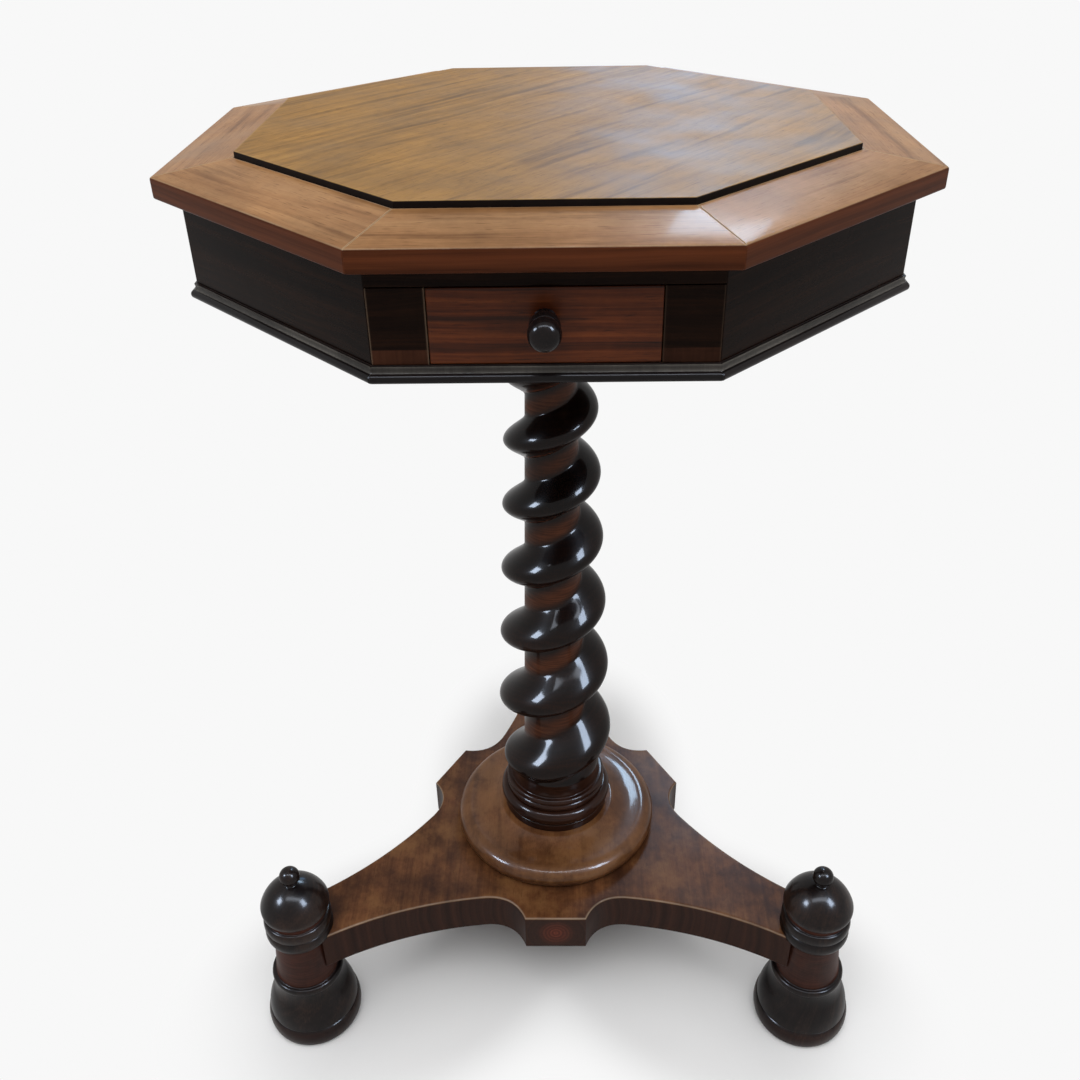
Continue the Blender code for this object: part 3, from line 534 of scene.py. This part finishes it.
def plank(name, cad_node, material, run, ease=ARRIS):
    """A drawer's board with eased arrises that fills a CAD node's box, fibres along one axis (0 or 1)."""
    low, high = np.array(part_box(cad_node)[0]), np.array(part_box(cad_node)[1])
    across = 1 - run
    left, right = low[across], high[across]
    section = eased_loop(((left, low[2]), (right, low[2]), (right, high[2]), (left, high[2])), ease)
    at, inset = eased_ends(low[run], high[run], ease)
    loops = drawn_in(np.broadcast_to(section, (len(at), *section.shape)), inset)
    station = np.broadcast_to(at[:, None], loops.shape[:2])
    spots = {run: station, across: loops[..., 0], 2: loops[..., 1]}
    rings = np.stack([spots[0], spots[1], spots[2]], -1)
    grain = np.stack([station, loops[..., 0], loops[..., 1]], -1) + GRAIN_STEP * len(name)
    make_piece(name, rings, material, cad_node, body="drawer", grain=grain)


DRAWER_FACE_ARRIS = 0.0009
DRAWER_BOTTOM_ARRIS = 0.0004
KNOB_SEAT_RADIUS = 0.0061
KNOB_NECK_RADIUS = 0.0052
KNOB_NECK_LENGTH = 0.0052
KNOB_NECK_HOLLOW = 0.0006
KNOB_BEAD_RADIUS = 0.0078
KNOB_BEAD_LENGTH = 0.0073
KNOB_GROOVE_RADIUS = 0.0066
KNOB_CHEEK_LENGTH = 0.0056
KNOB_CHEEK_SWELL = 0.0005
KNOB_HEAD_RADIUS = 0.0083
KNOB_HEAD_SWELL = 0.0018
KNOB_FACE_RADIUS = 0.0025
KNOB_FACE_DROP = 0.0003
KNOB_SOFTNESS = 0.0004
KNOB_STEP = 0.00025
KNOB_SEGMENTS = 64
KNOB_TIP = 0.0004


def build_drawer():
    """The drawer's face and linings, and its turned knob."""
    plank("drawer_face", "drawer_front", DRAWER_WOOD, 0, ease=DRAWER_FACE_ARRIS)
    plank("lining_left", "drawer_side_left", PINE, 1)
    plank("lining_right", "drawer_side_right", PINE, 1)
    plank("lining_back", "drawer_back", PINE, 0)
    plank("lining_bottom", "drawer_bottom", PINE, 0, ease=DRAWER_BOTTOM_ARRIS)
    low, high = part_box("drawer_knob")
    groove = KNOB_NECK_LENGTH + KNOB_BEAD_LENGTH
    widest = (KNOB_HEAD_RADIUS, groove + KNOB_CHEEK_LENGTH)
    tip = (KNOB_TIP, high.y - low.y)
    face = (KNOB_FACE_RADIUS, tip[1] - KNOB_FACE_DROP)
    parts = [bow(tip, face, KNOB_FACE_DROP / 3, 4),
             bow(face, widest, KNOB_HEAD_SWELL)[1:],
             bow(widest, (KNOB_GROOVE_RADIUS, groove), KNOB_CHEEK_SWELL)[1:],
             bead(KNOB_GROOVE_RADIUS, KNOB_BEAD_RADIUS, groove, KNOB_NECK_LENGTH)[1:],
             bow((KNOB_NECK_RADIUS, KNOB_NECK_LENGTH), (KNOB_SEAT_RADIUS, 0.0), -KNOB_NECK_HOLLOW)]
    upright = spun(softened(parts, KNOB_SOFTNESS, KNOB_STEP), KNOB_SEGMENTS, (0.0, 0.0))
    middle = ((low.x + high.x) / 2, high.y, (low.z + high.z) / 2)
    rings = np.stack([upright[..., 0], -upright[..., 2], upright[..., 1]], -1) + middle
    make_piece("turned_knob", rings, EBONY_WOOD, "drawer_knob", body="drawer",
               grain=upright[..., [2, 0, 1]])


# Stand

COLUMN_HEAD_RADIUS = 0.0345
COLUMN_STEP_RADIUS = 0.0460
COLUMN_STEP_HEIGHT = 0.0072
COLUMN_TORUS_RADIUS = 0.0485
COLUMN_TORUS_EDGE = 0.0430
COLUMN_TORUS_HEIGHT = 0.0138
COLUMN_BEAD_RADIUS = 0.0433
COLUMN_BEAD_EDGE = 0.0412
COLUMN_BEAD_HEIGHT = 0.0063
COLUMN_NECK_RADIUS = 0.0388
COLUMN_NECK_HEIGHT = 0.0134
COLUMN_NECK_HOLLOW = 0.0005
TWIST_TURNS = 6.95
TWIST_PHASE_DEG = 161.0
TWIST_HEAD_RADIUS = 0.0311
TWIST_HEAD_CORE = 0.0174
TWIST_FOOT_RADIUS = 0.0503
TWIST_FOOT_CORE = 0.0274
TWIST_UPPER_SHARE = 0.71
TWIST_LOWER_SHARE = 0.58
TWIST_LOBE_POWER = 1.17
TWIST_RUN_OUT = 0.0200
COLUMN_END_STEP = 0.0007
COLUMN_ROWS = 560
COLUMN_SEGMENTS = 112
COLUMN_FOOT_WEAR = 0.3
# Where the lower lip of the lobe lies, as a share of its lower side, and half the width of its line
LIP_PLACE = 0.88
LIP_WIDTH = 0.05
# Where the rubbed colour of a hollow begins and ends, and over how much of the hollow it does so; the dark
# left at the hollow's upper side, and the slow rise from it, are painted shade under the lobe above
HOLLOW_START, HOLLOW_RISE = 0.1, 0.4
HOLLOW_END, HOLLOW_FALL = 1.05, 0.3


def column_end():
    """Outline of the column's foot from the top down: neck, twin beads, torus and step."""
    torus_high = COLUMN_STEP_HEIGHT + COLUMN_TORUS_HEIGHT
    beads_middle = torus_high + COLUMN_BEAD_HEIGHT
    neck_low = beads_middle + COLUMN_BEAD_HEIGHT
    top = neck_low + COLUMN_NECK_HEIGHT
    parts = [bow((COLUMN_NECK_RADIUS, top), (COLUMN_NECK_RADIUS, neck_low), -COLUMN_NECK_HOLLOW),
             bead(COLUMN_BEAD_EDGE, COLUMN_BEAD_RADIUS, neck_low, beads_middle),
             bead(COLUMN_BEAD_EDGE, COLUMN_BEAD_RADIUS, beads_middle, torus_high)[1:],
             bead(COLUMN_TORUS_EDGE, COLUMN_TORUS_RADIUS, torus_high, COLUMN_STEP_HEIGHT),
             [(COLUMN_STEP_RADIUS, COLUMN_STEP_HEIGHT), (COLUMN_STEP_RADIUS, 0.0)]]
    return softened(parts, TURNING_SOFTNESS, COLUMN_END_STEP)


def eased(distance):
    """A smooth step from 0 at an end of the twist to 1 at its full depth."""
    share = np.clip(distance / TWIST_RUN_OUT, 0, 1)
    return share * share * (3 - 2 * share)


def build_column():
    """The column: one strand round a core, both tapering, between turned ends.

    The crest's angle follows the logarithm of its radius, so that the pitch shrinks with the taper. A
    point's angle from the crest, as a share of its side of the lobe, gives a power of a cosine.
    """
    low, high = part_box("column")
    foot = column_end()
    head = foot * COLUMN_HEAD_RADIUS / COLUMN_TORUS_RADIUS
    bottom, top = low.z + foot[0, 1], high.z - head[0, 1]
    z = np.linspace(top, bottom, COLUMN_ROWS)[1:-1, None]
    share = (z - bottom) / (top - bottom)
    crest = TWIST_FOOT_RADIUS + (TWIST_HEAD_RADIUS - TWIST_FOOT_RADIUS) * share
    core = TWIST_FOOT_CORE + (TWIST_HEAD_CORE - TWIST_FOOT_CORE) * share
    taper = math.log(TWIST_FOOT_RADIUS / TWIST_HEAD_RADIUS)
    turns = TWIST_TURNS * np.log(TWIST_FOOT_RADIUS / crest) / taper
    angle = np.linspace(0, 2 * math.pi, COLUMN_SEGMENTS, endpoint=False)
    turn = (angle - math.radians(TWIST_PHASE_DEG)) / (2 * math.pi) - turns
    below = turn - np.round(turn)
    side = np.where(below > 0, TWIST_LOWER_SHARE, TWIST_UPPER_SHARE)
    offset = np.minimum(np.abs(below) * 2 / side, 1)
    lobe = np.maximum(np.cos(math.pi / 2 * offset), 0) ** TWIST_LOBE_POWER
    radius = core + (crest - core) * lobe
    radius = head[0, 0] + (radius - head[0, 0]) * eased(top - z)
    radius = foot[0, 0] + (radius - foot[0, 0]) * eased(z - bottom)
    head_rings = np.repeat(head[::-1, :1], COLUMN_SEGMENTS, 1)
    foot_rings = np.repeat(foot[:, :1], COLUMN_SEGMENTS, 1)
    radius = np.vstack([head_rings, radius, foot_rings])
    level = np.r_[high.z - head[::-1, 1], z[:, 0], low.z + foot[:, 1]][:, None]
    rings = np.stack([radius * np.cos(angle), AXIS_Y + radius * np.sin(angle), level + 0 * angle], -1)
    full = eased(top - z) * eased(z - bottom)
    # The hollow between two lobes, from 0 at its upper side to 1 at its lower one, is rubbed; near its
    # upper side the rubbed colour is held back as painted shade under the lobe above
    from_crest = np.where(below > 0, below, below + 1)
    hollow = (from_crest - TWIST_LOWER_SHARE / 2) / (1 - TWIST_LOWER_SHARE / 2 - TWIST_UPPER_SHARE / 2)
    rubbed = np.clip((hollow - HOLLOW_START) / HOLLOW_RISE, 0, 1)
    rubbed = rubbed * np.clip((HOLLOW_END - hollow) / HOLLOW_FALL, 0, 1)
    wear = np.vstack([0 * head_rings, rubbed * full, 0 * foot_rings + COLUMN_FOOT_WEAR])
    lip = np.exp(-((offset - LIP_PLACE) / LIP_WIDTH) ** 2) * (below > 0) * full
    seam = np.vstack([0 * head_rings, 0.8 * lip, 0 * foot_rings])
    grain = np.stack([rings[..., 2], rings[..., 0], rings[..., 1] - AXIS_Y], -1)
    make_piece("twist_column", rings, COLUMN_WOOD, "column", grain=grain, sharp=60,
               marks={"wear": wear, "seam": seam})


DISC_SEAT_RADIUS = 0.0510
DISC_DISH = 0.0018
DISC_RIM = 0.0182
DISC_RIM_WIDTH = 0.0110
DISC_RIM_SWELL = 0.0028
DISC_NOSE_HEIGHT = 0.0086
DISC_NOSE_SWELL = 0.0008
DISC_UNDERCUT = 0.0034
CAP_LIP = 0.0050
CAP_HOLLOW = 0.0025
DISC_HIDDEN_RADIUS = 0.030
DISC_SEGMENTS = 128
DISC_RUB = 0.004
CAP_HIDDEN_WIDTH = 0.01
CAP_SEGMENTS = 96


def build_disc_and_cap():
    """The plinth disc, dished to a bull-nosed rim, and the hollowed cap under the box."""
    low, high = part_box("plinth_disc")
    seat = (DISC_SEAT_RADIUS, high.z - low.z)
    rim = (high.x - DISC_RIM_WIDTH, DISC_RIM)
    nose = (high.x, DISC_NOSE_HEIGHT)
    parts = [[(DISC_HIDDEN_RADIUS, seat[1])], bow(seat, rim, -DISC_DISH),
             bow(rim, nose, DISC_RIM_SWELL)[1:],
             bow(nose, (high.x - DISC_UNDERCUT, 0.0), DISC_NOSE_SWELL)[1:]]
    outline = softened(parts, TURNING_SOFTNESS, TURNING_STEP) + (0.0, low.z)
    rings = spun(outline, DISC_SEGMENTS, (0.0, AXIS_Y))
    grain = np.stack([rings[..., 1], rings[..., 0], rings[..., 2]], -1) + GRAIN_STEP
    upper = outline[:, 1] > low.z + DISC_NOSE_HEIGHT
    wear = 0.5 * np.exp(-((outline[:, 0] - rim[0] - DISC_RUB) / DISC_RUB) ** 2) * upper
    make_piece("dished_disc", rings, DISC_WOOD, "plinth_disc", grain=grain, marks={"wear": wear[:, None]})
    low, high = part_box("column_cap")
    lip = high.z - low.z - CAP_LIP
    thick = high.z - low.z
    parts = [[(high.x - CAP_HIDDEN_WIDTH, thick), (high.x, thick), (high.x, lip)],
             bow((high.x, lip), (high.x - lip, 0.0), -CAP_HOLLOW)[1:],
             [(high.x - lip - CAP_HIDDEN_WIDTH, 0.0)]]
    outline = softened(parts, TURNING_SOFTNESS, TURNING_STEP) + (0.0, low.z)
    rings = spun(outline, CAP_SEGMENTS, (0.0, AXIS_Y))
    make_piece("hollowed_cap", rings, DISC_WOOD, "column_cap", grain=rings[..., [1, 0, 2]] + GRAIN_STEP * 3)


FOOT_BASE_RADIUS = 0.0401
FOOT_SOLE_RADIUS = 0.0367
FOOT_RIM_HEIGHT = 0.0188
FOOT_BELL_RADIUS = 0.0380
FOOT_BELL_SWELL = 0.0015
FOOT_WAIST_RADIUS = 0.0313
FOOT_WAIST_HEIGHT = 0.0410
FOOT_WAIST_HOLLOW = 0.0011
FOOT_BELL_HEIGHT = 0.0570
FOOT_RING_RADIUS = 0.0302
FOOT_RING_EDGE = 0.0284
FOOT_RING_HEIGHT = 0.0070
FOOT_BODY_FOOT_RADIUS = 0.0265
FOOT_BODY_RADIUS = 0.0223
FOOT_BODY_HEIGHT = 0.0460
FOOT_BODY_HOLLOW = 0.0006
FOOT_COLLAR_RADIUS = 0.0279
FOOT_COLLAR_EDGE = 0.0258
FOOT_COLLAR_HEIGHT = 0.0220
FOOT_NECK_RADIUS = 0.0247
FOOT_NECK_HEIGHT = 0.0065
FOOT_DOME_RADIUS = 0.0268
FOOT_DOME_HEIGHT = 0.0280
FOOT_DOME_SWELL = 0.0036
FOOT_LIP_RADIUS = 0.0272
FOOT_LIP_HEIGHT = 0.0080
FOOT_LIP_SWELL = 0.0010
FOOT_BUTTON_RADIUS = 0.0083
FOOT_BUTTON_HEIGHT = 0.0160
FOOT_BUTTON_NECK_RADIUS = 0.0048
FOOT_BUTTON_NECK_HEIGHT = 0.0015
FOOT_SEGMENTS = 72
FOOT_RIM_WEAR = 0.2
FOOT_RING_HIGH = FOOT_BELL_HEIGHT + FOOT_RING_HEIGHT
FOOT_COLLAR_LOW = FOOT_RING_HIGH + FOOT_BODY_HEIGHT
FOOT_COLLAR_HIGH = FOOT_COLLAR_LOW + FOOT_COLLAR_HEIGHT
FOOT_DOME_LOW = FOOT_COLLAR_HIGH + FOOT_NECK_HEIGHT
FOOT_DOME_HIGH = FOOT_DOME_LOW + FOOT_DOME_HEIGHT


def foot_outline():
    """Outline of a foot from its button down to its sole."""
    half = FOOT_BUTTON_HEIGHT / 2
    sweep = math.pi - math.asin(FOOT_BUTTON_NECK_RADIUS / FOOT_BUTTON_RADIUS)
    middle = FOOT_DOME_HIGH + FOOT_BUTTON_NECK_HEIGHT - half * math.cos(sweep)
    angle = np.linspace(0.07, sweep, 26)
    button = np.stack([FOOT_BUTTON_RADIUS * np.sin(angle), middle + half * np.cos(angle)], 1)
    crown = (FOOT_BUTTON_NECK_RADIUS, FOOT_DOME_HIGH)
    lip = (FOOT_LIP_RADIUS, FOOT_DOME_LOW + FOOT_LIP_HEIGHT)
    collar_middle = (FOOT_COLLAR_LOW + FOOT_COLLAR_HIGH) / 2
    waist = (FOOT_WAIST_RADIUS, FOOT_WAIST_HEIGHT)
    parts = [button, bow(crown, lip, FOOT_DOME_SWELL, 30),
             bow(lip, (FOOT_DOME_RADIUS, FOOT_DOME_LOW), FOOT_LIP_SWELL)[1:],
             [(FOOT_NECK_RADIUS, FOOT_DOME_LOW), (FOOT_NECK_RADIUS, FOOT_COLLAR_HIGH)],
             bead(FOOT_COLLAR_EDGE, FOOT_COLLAR_RADIUS, FOOT_COLLAR_HIGH, collar_middle),
             bead(FOOT_COLLAR_EDGE, FOOT_COLLAR_RADIUS, collar_middle, FOOT_COLLAR_LOW)[1:],
             bow((FOOT_BODY_RADIUS, FOOT_COLLAR_LOW), (FOOT_BODY_FOOT_RADIUS, FOOT_RING_HIGH),
                 -FOOT_BODY_HOLLOW),
             bead(FOOT_RING_EDGE, FOOT_RING_RADIUS, FOOT_RING_HIGH, FOOT_BELL_HEIGHT),
             bow((FOOT_RING_EDGE, FOOT_BELL_HEIGHT), waist, -FOOT_WAIST_HOLLOW)[1:],
             bow(waist, (FOOT_BELL_RADIUS, FOOT_RIM_HEIGHT), FOOT_BELL_SWELL)[1:],
             bead(FOOT_SOLE_RADIUS, FOOT_BASE_RADIUS, FOOT_RIM_HEIGHT, 0.0)]
    return softened(parts, TURNING_SOFTNESS, TURNING_STEP)


def build_feet():
    """Three turned feet, black on dome and bell, rubbed brown on neck, body and rim."""
    outline = foot_outline()
    z = outline[:, 1]
    body = np.clip((z - FOOT_RING_HIGH) / 0.002, 0, 1) * np.clip((FOOT_COLLAR_LOW - z) / 0.002, 0, 1)
    neck = np.clip((z - FOOT_COLLAR_HIGH) / 0.001, 0, 1) * np.clip((FOOT_DOME_LOW - z) / 0.002, 0, 1)
    rim = np.clip((FOOT_RIM_HEIGHT - z) / 0.003, 0, 1)
    wear = np.maximum(np.maximum(body, neck), FOOT_RIM_WEAR * rim)[:, None]
    for turn, (name, degrees) in enumerate(FEET):
        angle = math.radians(degrees)
        centre = (FOOT_CIRCLE * math.cos(angle), AXIS_Y + FOOT_CIRCLE * math.sin(angle))
        rings = spun(outline, FOOT_SEGMENTS, centre)
        grain = np.stack([rings[..., 2], rings[..., 0] - centre[0], rings[..., 1] - centre[1]], -1)
        make_piece("turned_" + name, rings, FOOT_WOOD, name, grain=grain + GRAIN_STEP * turn,
                   marks={"wear": wear}, sharp=60)


LUG_REACH = 0.1186
LUG_HALF_WIDTH = 0.0255
SCOOP_DEPTH = 0.0075
ARM_ROOT_REACH = 0.1002
ARM_ROOT_HALF_WIDTH = 0.0537
ARM_END_HALF_WIDTH = 0.0232
BOARD_TOP_INSET = 0.0022
BOARD_WALL_ROWS = 44
ARM_POINTS = 48
TIP_POINTS = 27
SCOOP_POINTS = 16


def platform_plans(level, inset):
    """Plans (levels, points, 2) of the base board, counter-clockwise round the column's axis.

    From a lug's corner a parabola runs in to the arm's root. The arm's half width then falls with the
    square of the distance still to go. These sides are drawn in by the inset, and an arc between them
    follows the foot's circle at that height.
    """
    outline = foot_outline()[::-1]
    inset = inset[:, None]
    circle = np.interp(level, outline[:, 1], outline[:, 0])[:, None] + JOINT_GAP
    reach = FOOT_CIRCLE - FOOT_BODY_RADIUS / 2
    tip = (ARM_END_HALF_WIDTH - inset) * np.linspace(1, -1, TIP_POINTS)
    tip_along = np.minimum(reach, FOOT_CIRCLE - np.sqrt(np.maximum(circle ** 2 - tip ** 2, 0)))
    along = ARM_ROOT_REACH + (tip_along[:, :1] + inset - ARM_ROOT_REACH) * np.linspace(0, 1, ARM_POINTS)[1:]
    left = (reach - along) / (reach - ARM_ROOT_REACH)
    across = ARM_END_HALF_WIDTH + (ARM_ROOT_HALF_WIDTH - ARM_END_HALF_WIDTH) * left ** 2
    turn = math.pi / len(FEET)
    ahead = np.array([math.cos(turn), math.sin(turn)])
    aside = np.array([math.sin(turn), -math.cos(turn)])
    root = ahead * ARM_ROOT_REACH + aside * ARM_ROOT_HALF_WIDTH
    scoop = bow((LUG_REACH, LUG_HALF_WIDTH), root, SCOOP_DEPTH, SCOOP_POINTS)
    scoop = np.broadcast_to(scoop, (len(level), *scoop.shape))
    half = np.concatenate([scoop, along[..., None] * ahead + across[..., None] * aside], 1)
    sector = np.concatenate([half[:, ::-1] * (1, -1), half], 1)
    arc = tip_along[:, 1:-1, None] * ahead + tip[:, 1:-1, None] * aside
    angles = [math.radians(degrees) + turn for _, degrees in FEET]
    spins = [np.array([[math.cos(a), math.sin(a)], [-math.sin(a), math.cos(a)]]) for a in angles]
    sides = drawn_in(np.concatenate([sector @ spin for spin in spins], 1), inset[:, 0])
    thirds = np.split(sides, len(FEET), 1)
    parts = [np.concatenate([side, arc @ spin], 1) for side, spin in zip(thirds, spins)]
    return np.concatenate(parts, 1)


def build_platform():
    """The base board: its plan at many levels, with rounded arrises, rubbed pale along the upper one."""
    low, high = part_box("platform")
    angle = np.linspace(0, math.pi / 2, 6)
    top_in = BOARD_ARRIS * (1 - np.sin(angle))
    top_z = high.z - BOARD_ARRIS * (1 - np.cos(angle))
    wall = np.linspace(high.z - BOARD_ARRIS, low.z + BOARD_ARRIS, BOARD_WALL_ROWS)[1:-1]
    inset = np.r_[BOARD_TOP_INSET, top_in, np.zeros(len(wall)), top_in[::-1]]
    level = np.r_[high.z, top_z, wall, low.z + high.z - top_z[::-1]]
    plans = platform_plans(level, inset)
    x, y = plans[..., 0], plans[..., 1]
    z = np.broadcast_to(level[:, None], x.shape)
    rings = np.stack([x, AXIS_Y + y, z], -1)
    # The upper arris is rubbed round its fourth row, and the sides are dark below it
    row = np.arange(len(level))
    rubbed = np.clip(1 - np.abs(row - 4) / 2.5, 0, 1)
    sides = np.clip((row - 5) / 2, 0, 1)
    make_piece("shaped_platform", rings, BASE_WOOD, "platform", grain=np.stack([y, x, z - high.z], -1),
               marks={"wear": 0.8 * rubbed[:, None], "edge": sides[:, None]})


# Stage

CAMERA_PLACE = (0.00802, AXIS_Y - 0.70221, 0.87608)
CAMERA_YAW, CAMERA_PITCH, CAMERA_ROLL = -0.02532, 0.57894, -0.01977
FOCAL_PIXELS, FRAME_PIXELS, SENSOR_MM = 1078.47, 1080, 36.0
SIGHT_LIMIT = 60


def build_camera():
    """The camera, from its yaw, its pitch below the horizon, its roll and its focal length in pixels."""
    yaw, pitch, roll = CAMERA_YAW, CAMERA_PITCH, CAMERA_ROLL
    level = np.array([math.sin(yaw), math.cos(yaw), 0.0])
    forward = level * math.cos(pitch) - np.array([0.0, 0.0, math.sin(pitch)])
    right = np.array([math.cos(yaw), -math.sin(yaw), 0.0])
    up = np.cross(right, forward)
    across = right * math.cos(roll) + up * math.sin(roll)
    upward = up * math.cos(roll) - right * math.sin(roll)
    lens = bpy.data.cameras.new("camera")
    lens.sensor_width = SENSOR_MM
    lens.lens = SENSOR_MM * FOCAL_PIXELS / FRAME_PIXELS
    lens.clip_end = SIGHT_LIMIT
    camera = bpy.data.objects.new("camera", lens)
    place = np.eye(4)
    place[:3, :3] = np.stack([across, upward, -forward], 1)
    place[:3, 3] = CAMERA_PLACE
    camera.matrix_world = Matrix(place.tolist())
    bpy.context.scene.collection.objects.link(camera)
    bpy.context.scene.camera = camera


def lamp(name, kind, place, aim, energy, colour, shines=False, **settings):
    """A lamp at a place, pointed at a spot: one that shines only shows in polish, any other only lights."""
    light = bpy.data.lights.new(name, kind)
    light.energy = energy
    light.color = linear(colour)[:3]
    for key, value in settings.items():
        setattr(light, key, value)
    held = bpy.data.objects.new(name, light)
    z = np.asarray(place, float) - np.asarray(aim, float)
    z /= np.linalg.norm(z)
    x = np.cross((0.0, 0.0, 1.0), z)
    x /= np.linalg.norm(x)
    turn = np.eye(4)
    turn[:3, :3] = np.stack([x, np.cross(z, x), z], 1)
    turn[:3, 3] = place
    held.matrix_world = Matrix(turn.tolist())
    held.visible_glossy = shines
    held.visible_diffuse = not shines
    held.visible_camera = False
    bpy.context.scene.collection.objects.link(held)


WHITE = "#F8F8F8"
FLOOR_PAINT = "#F4F4F4"
FLOOR_RADIUS = 9.0
# Where the floor fades to white, and how far that follows the feet
SHADOW_REACH = (0.190, 0.290)
SHADOW_LOBES = 0.10
# The surround's light overhead, and the heights of direction between which it rises from nought
AMBIENT = 0.6
AMBIENT_RISE = (0.3, 0.9)
MIDDLE = (0.0, AXIS_Y, 0.45)
TOP_MIDDLE = (0.0, AXIS_Y, 0.72)
# Soft suns: place, strength and width in degrees
SUNS = (("key", (-0.10, -0.62, 3.0), 2.2, 70), ("back_fill", (0.8, 2.0, 2.0), 0.4, 60))
# Bright oblongs that show in polish: place, aim, width, height, radiance and colour
PANES = (("front_window", (1.65, -1.30, 2.20), MIDDLE, 0.7, 1.0, 65.0, "#D4E6FF"),
         ("left_window", (-2.10, -1.00, 1.95), MIDDLE, 0.7, 0.7, 75.0, "#D8E8FF"),
         ("front_top_light", (0.0, -1.0, 2.3), MIDDLE, 2.2, 0.40, 16.0, "#E6F0FF"),
         ("ceiling_light", (0.1, 0.9, 2.6), MIDDLE, 0.3, 0.3, 40.0, "#FFF8F2"),
         ("back_window", (0.31, 2.5, 1.27), TOP_MIDDLE, 0.46, 0.45, 11.0, "#8CC8FF"),
         ("back_skylight", (0.68, 2.5, 2.42), TOP_MIDDLE, 0.60, 0.60, 50.0, "#C4E2FF"))


def plainly_seen(tree):
    """One for the camera's rays, and for rays through glass or off a polish; nought for light."""
    rays = node(tree, "LightPath").node.outputs
    both = node(tree, "Math", {0: rays["Is Camera Ray"], 1: rays["Is Glossy Ray"]}, operation="ADD")
    return node(tree, "Math", {0: both, 1: rays["Is Transmission Ray"]}, operation="ADD", use_clamp=True)


def build_floor():
    """A pale floor, plainly lit round the base to hold the shadow, and plain white further out.

    The fade goes by the distance from the column's axis plus a share of the sine of three times the
    bearing, so that it follows the three feet.
    """
    mesh = bpy.data.meshes.new("floor")
    angle = np.linspace(0, 2 * math.pi, 96, endpoint=False)
    rim = np.stack([FLOOR_RADIUS * np.cos(angle), AXIS_Y + FLOOR_RADIUS * np.sin(angle), 0 * angle], 1)
    mesh.from_pydata(rim.tolist(), [], [list(range(len(rim)))])
    floor = bpy.data.objects.new("floor", mesh)
    bpy.context.scene.collection.objects.link(floor)
    paint = bpy.data.materials.new("white_floor")
    paint.use_nodes = True
    tree = paint.node_tree
    tree.nodes.remove(tree.nodes["Principled BSDF"])
    matt = node(tree, "BsdfDiffuse", {"Color": linear(FLOOR_PAINT)})
    plain = node(tree, "Emission", {"Color": linear(WHITE), "Strength": 1.0})
    spot = node(tree, "TexCoord", out="Object")
    around = node(tree, "VectorMath", {0: spot, 1: (0.0, AXIS_Y, 0.0)}, operation="SUBTRACT")
    away = node(tree, "VectorMath", {0: around}, out="Value", operation="LENGTH")
    parts = node(tree, "SeparateXYZ", {0: around}).node.outputs
    bearing = node(tree, "Math", {0: parts["Y"], 1: parts["X"]}, operation="ARCTAN2")
    turns = node(tree, "Math", {0: bearing, 1: float(len(FEET))}, operation="MULTIPLY")
    lobes = node(tree, "Math", {0: turns}, operation="SINE")
    past = node(tree, "Math", {0: lobes, 1: SHADOW_LOBES, 2: away}, operation="MULTIPLY_ADD")
    far = node(tree, "MapRange", {"Value": past, 1: SHADOW_REACH[0], 2: SHADOW_REACH[1]},
               interpolation_type="SMOOTHSTEP")
    shown = node(tree, "Math", {0: far, 1: plainly_seen(tree)}, operation="MULTIPLY")
    mixed = node(tree, "MixShader", {0: shown, 1: matt, 2: plain})
    tree.links.new(mixed, tree.nodes["Material Output"].inputs["Surface"])
    mesh.materials.append(paint)


def build_light():
    """A surround that is seen as white and lights as a room with a pale ceiling, soft suns and panes.

    A pane's watts are its radiance times its area times pi.
    """
    world = bpy.data.worlds.new("surround")
    bpy.context.scene.world = world
    world.use_nodes = True
    tree = world.node_tree
    way = node(tree, "TexCoord", out="Generated")
    height = node(tree, "SeparateXYZ", {0: way}, out="Z")
    low, high = AMBIENT_RISE
    light = node(tree, "MapRange", {"Value": height, 1: low, 2: high, 3: 0.0, 4: AMBIENT})
    strength = node(tree, "Mix", {0: plainly_seen(tree), 2: light, 3: 1.0})
    tree.links.new(strength, tree.nodes["Background"].inputs["Strength"])
    tree.nodes["Background"].inputs["Color"].default_value = linear(WHITE)
    for name, place, energy, degrees in SUNS:
        lamp(name, "SUN", place, MIDDLE, energy, "#FFFFFF", angle=math.radians(degrees))
    for name, place, aim, width, tall, radiance, colour in PANES:
        watts = radiance * width * tall * math.pi
        lamp(name, "AREA", place, aim, watts, colour, shines=True, shape="RECTANGLE", size=width,
             size_y=tall)


def main():
    """The whole table on its stage."""
    bpy.context.scene.view_settings.view_transform = "Standard"
    build_camera()
    build_floor()
    build_light()
    build_panel()
    build_border()
    build_frieze()
    build_moulding()
    build_drawer()
    build_column()
    build_disc_and_cap()
    build_feet()
    build_platform()
    # Pieces that hardly show keep their solids, with a finish of their own
    for name in ("top_core", "bottom_board", "drawer_guide_left", "drawer_guide_right",
                 "drawer_kicker_left", "drawer_kicker_right", "drawer_stop"):
        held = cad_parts[name].data.materials
        held.clear()
        held.append(PINE_STAINED if name == "bottom_board" else PINE_CASE)


main()
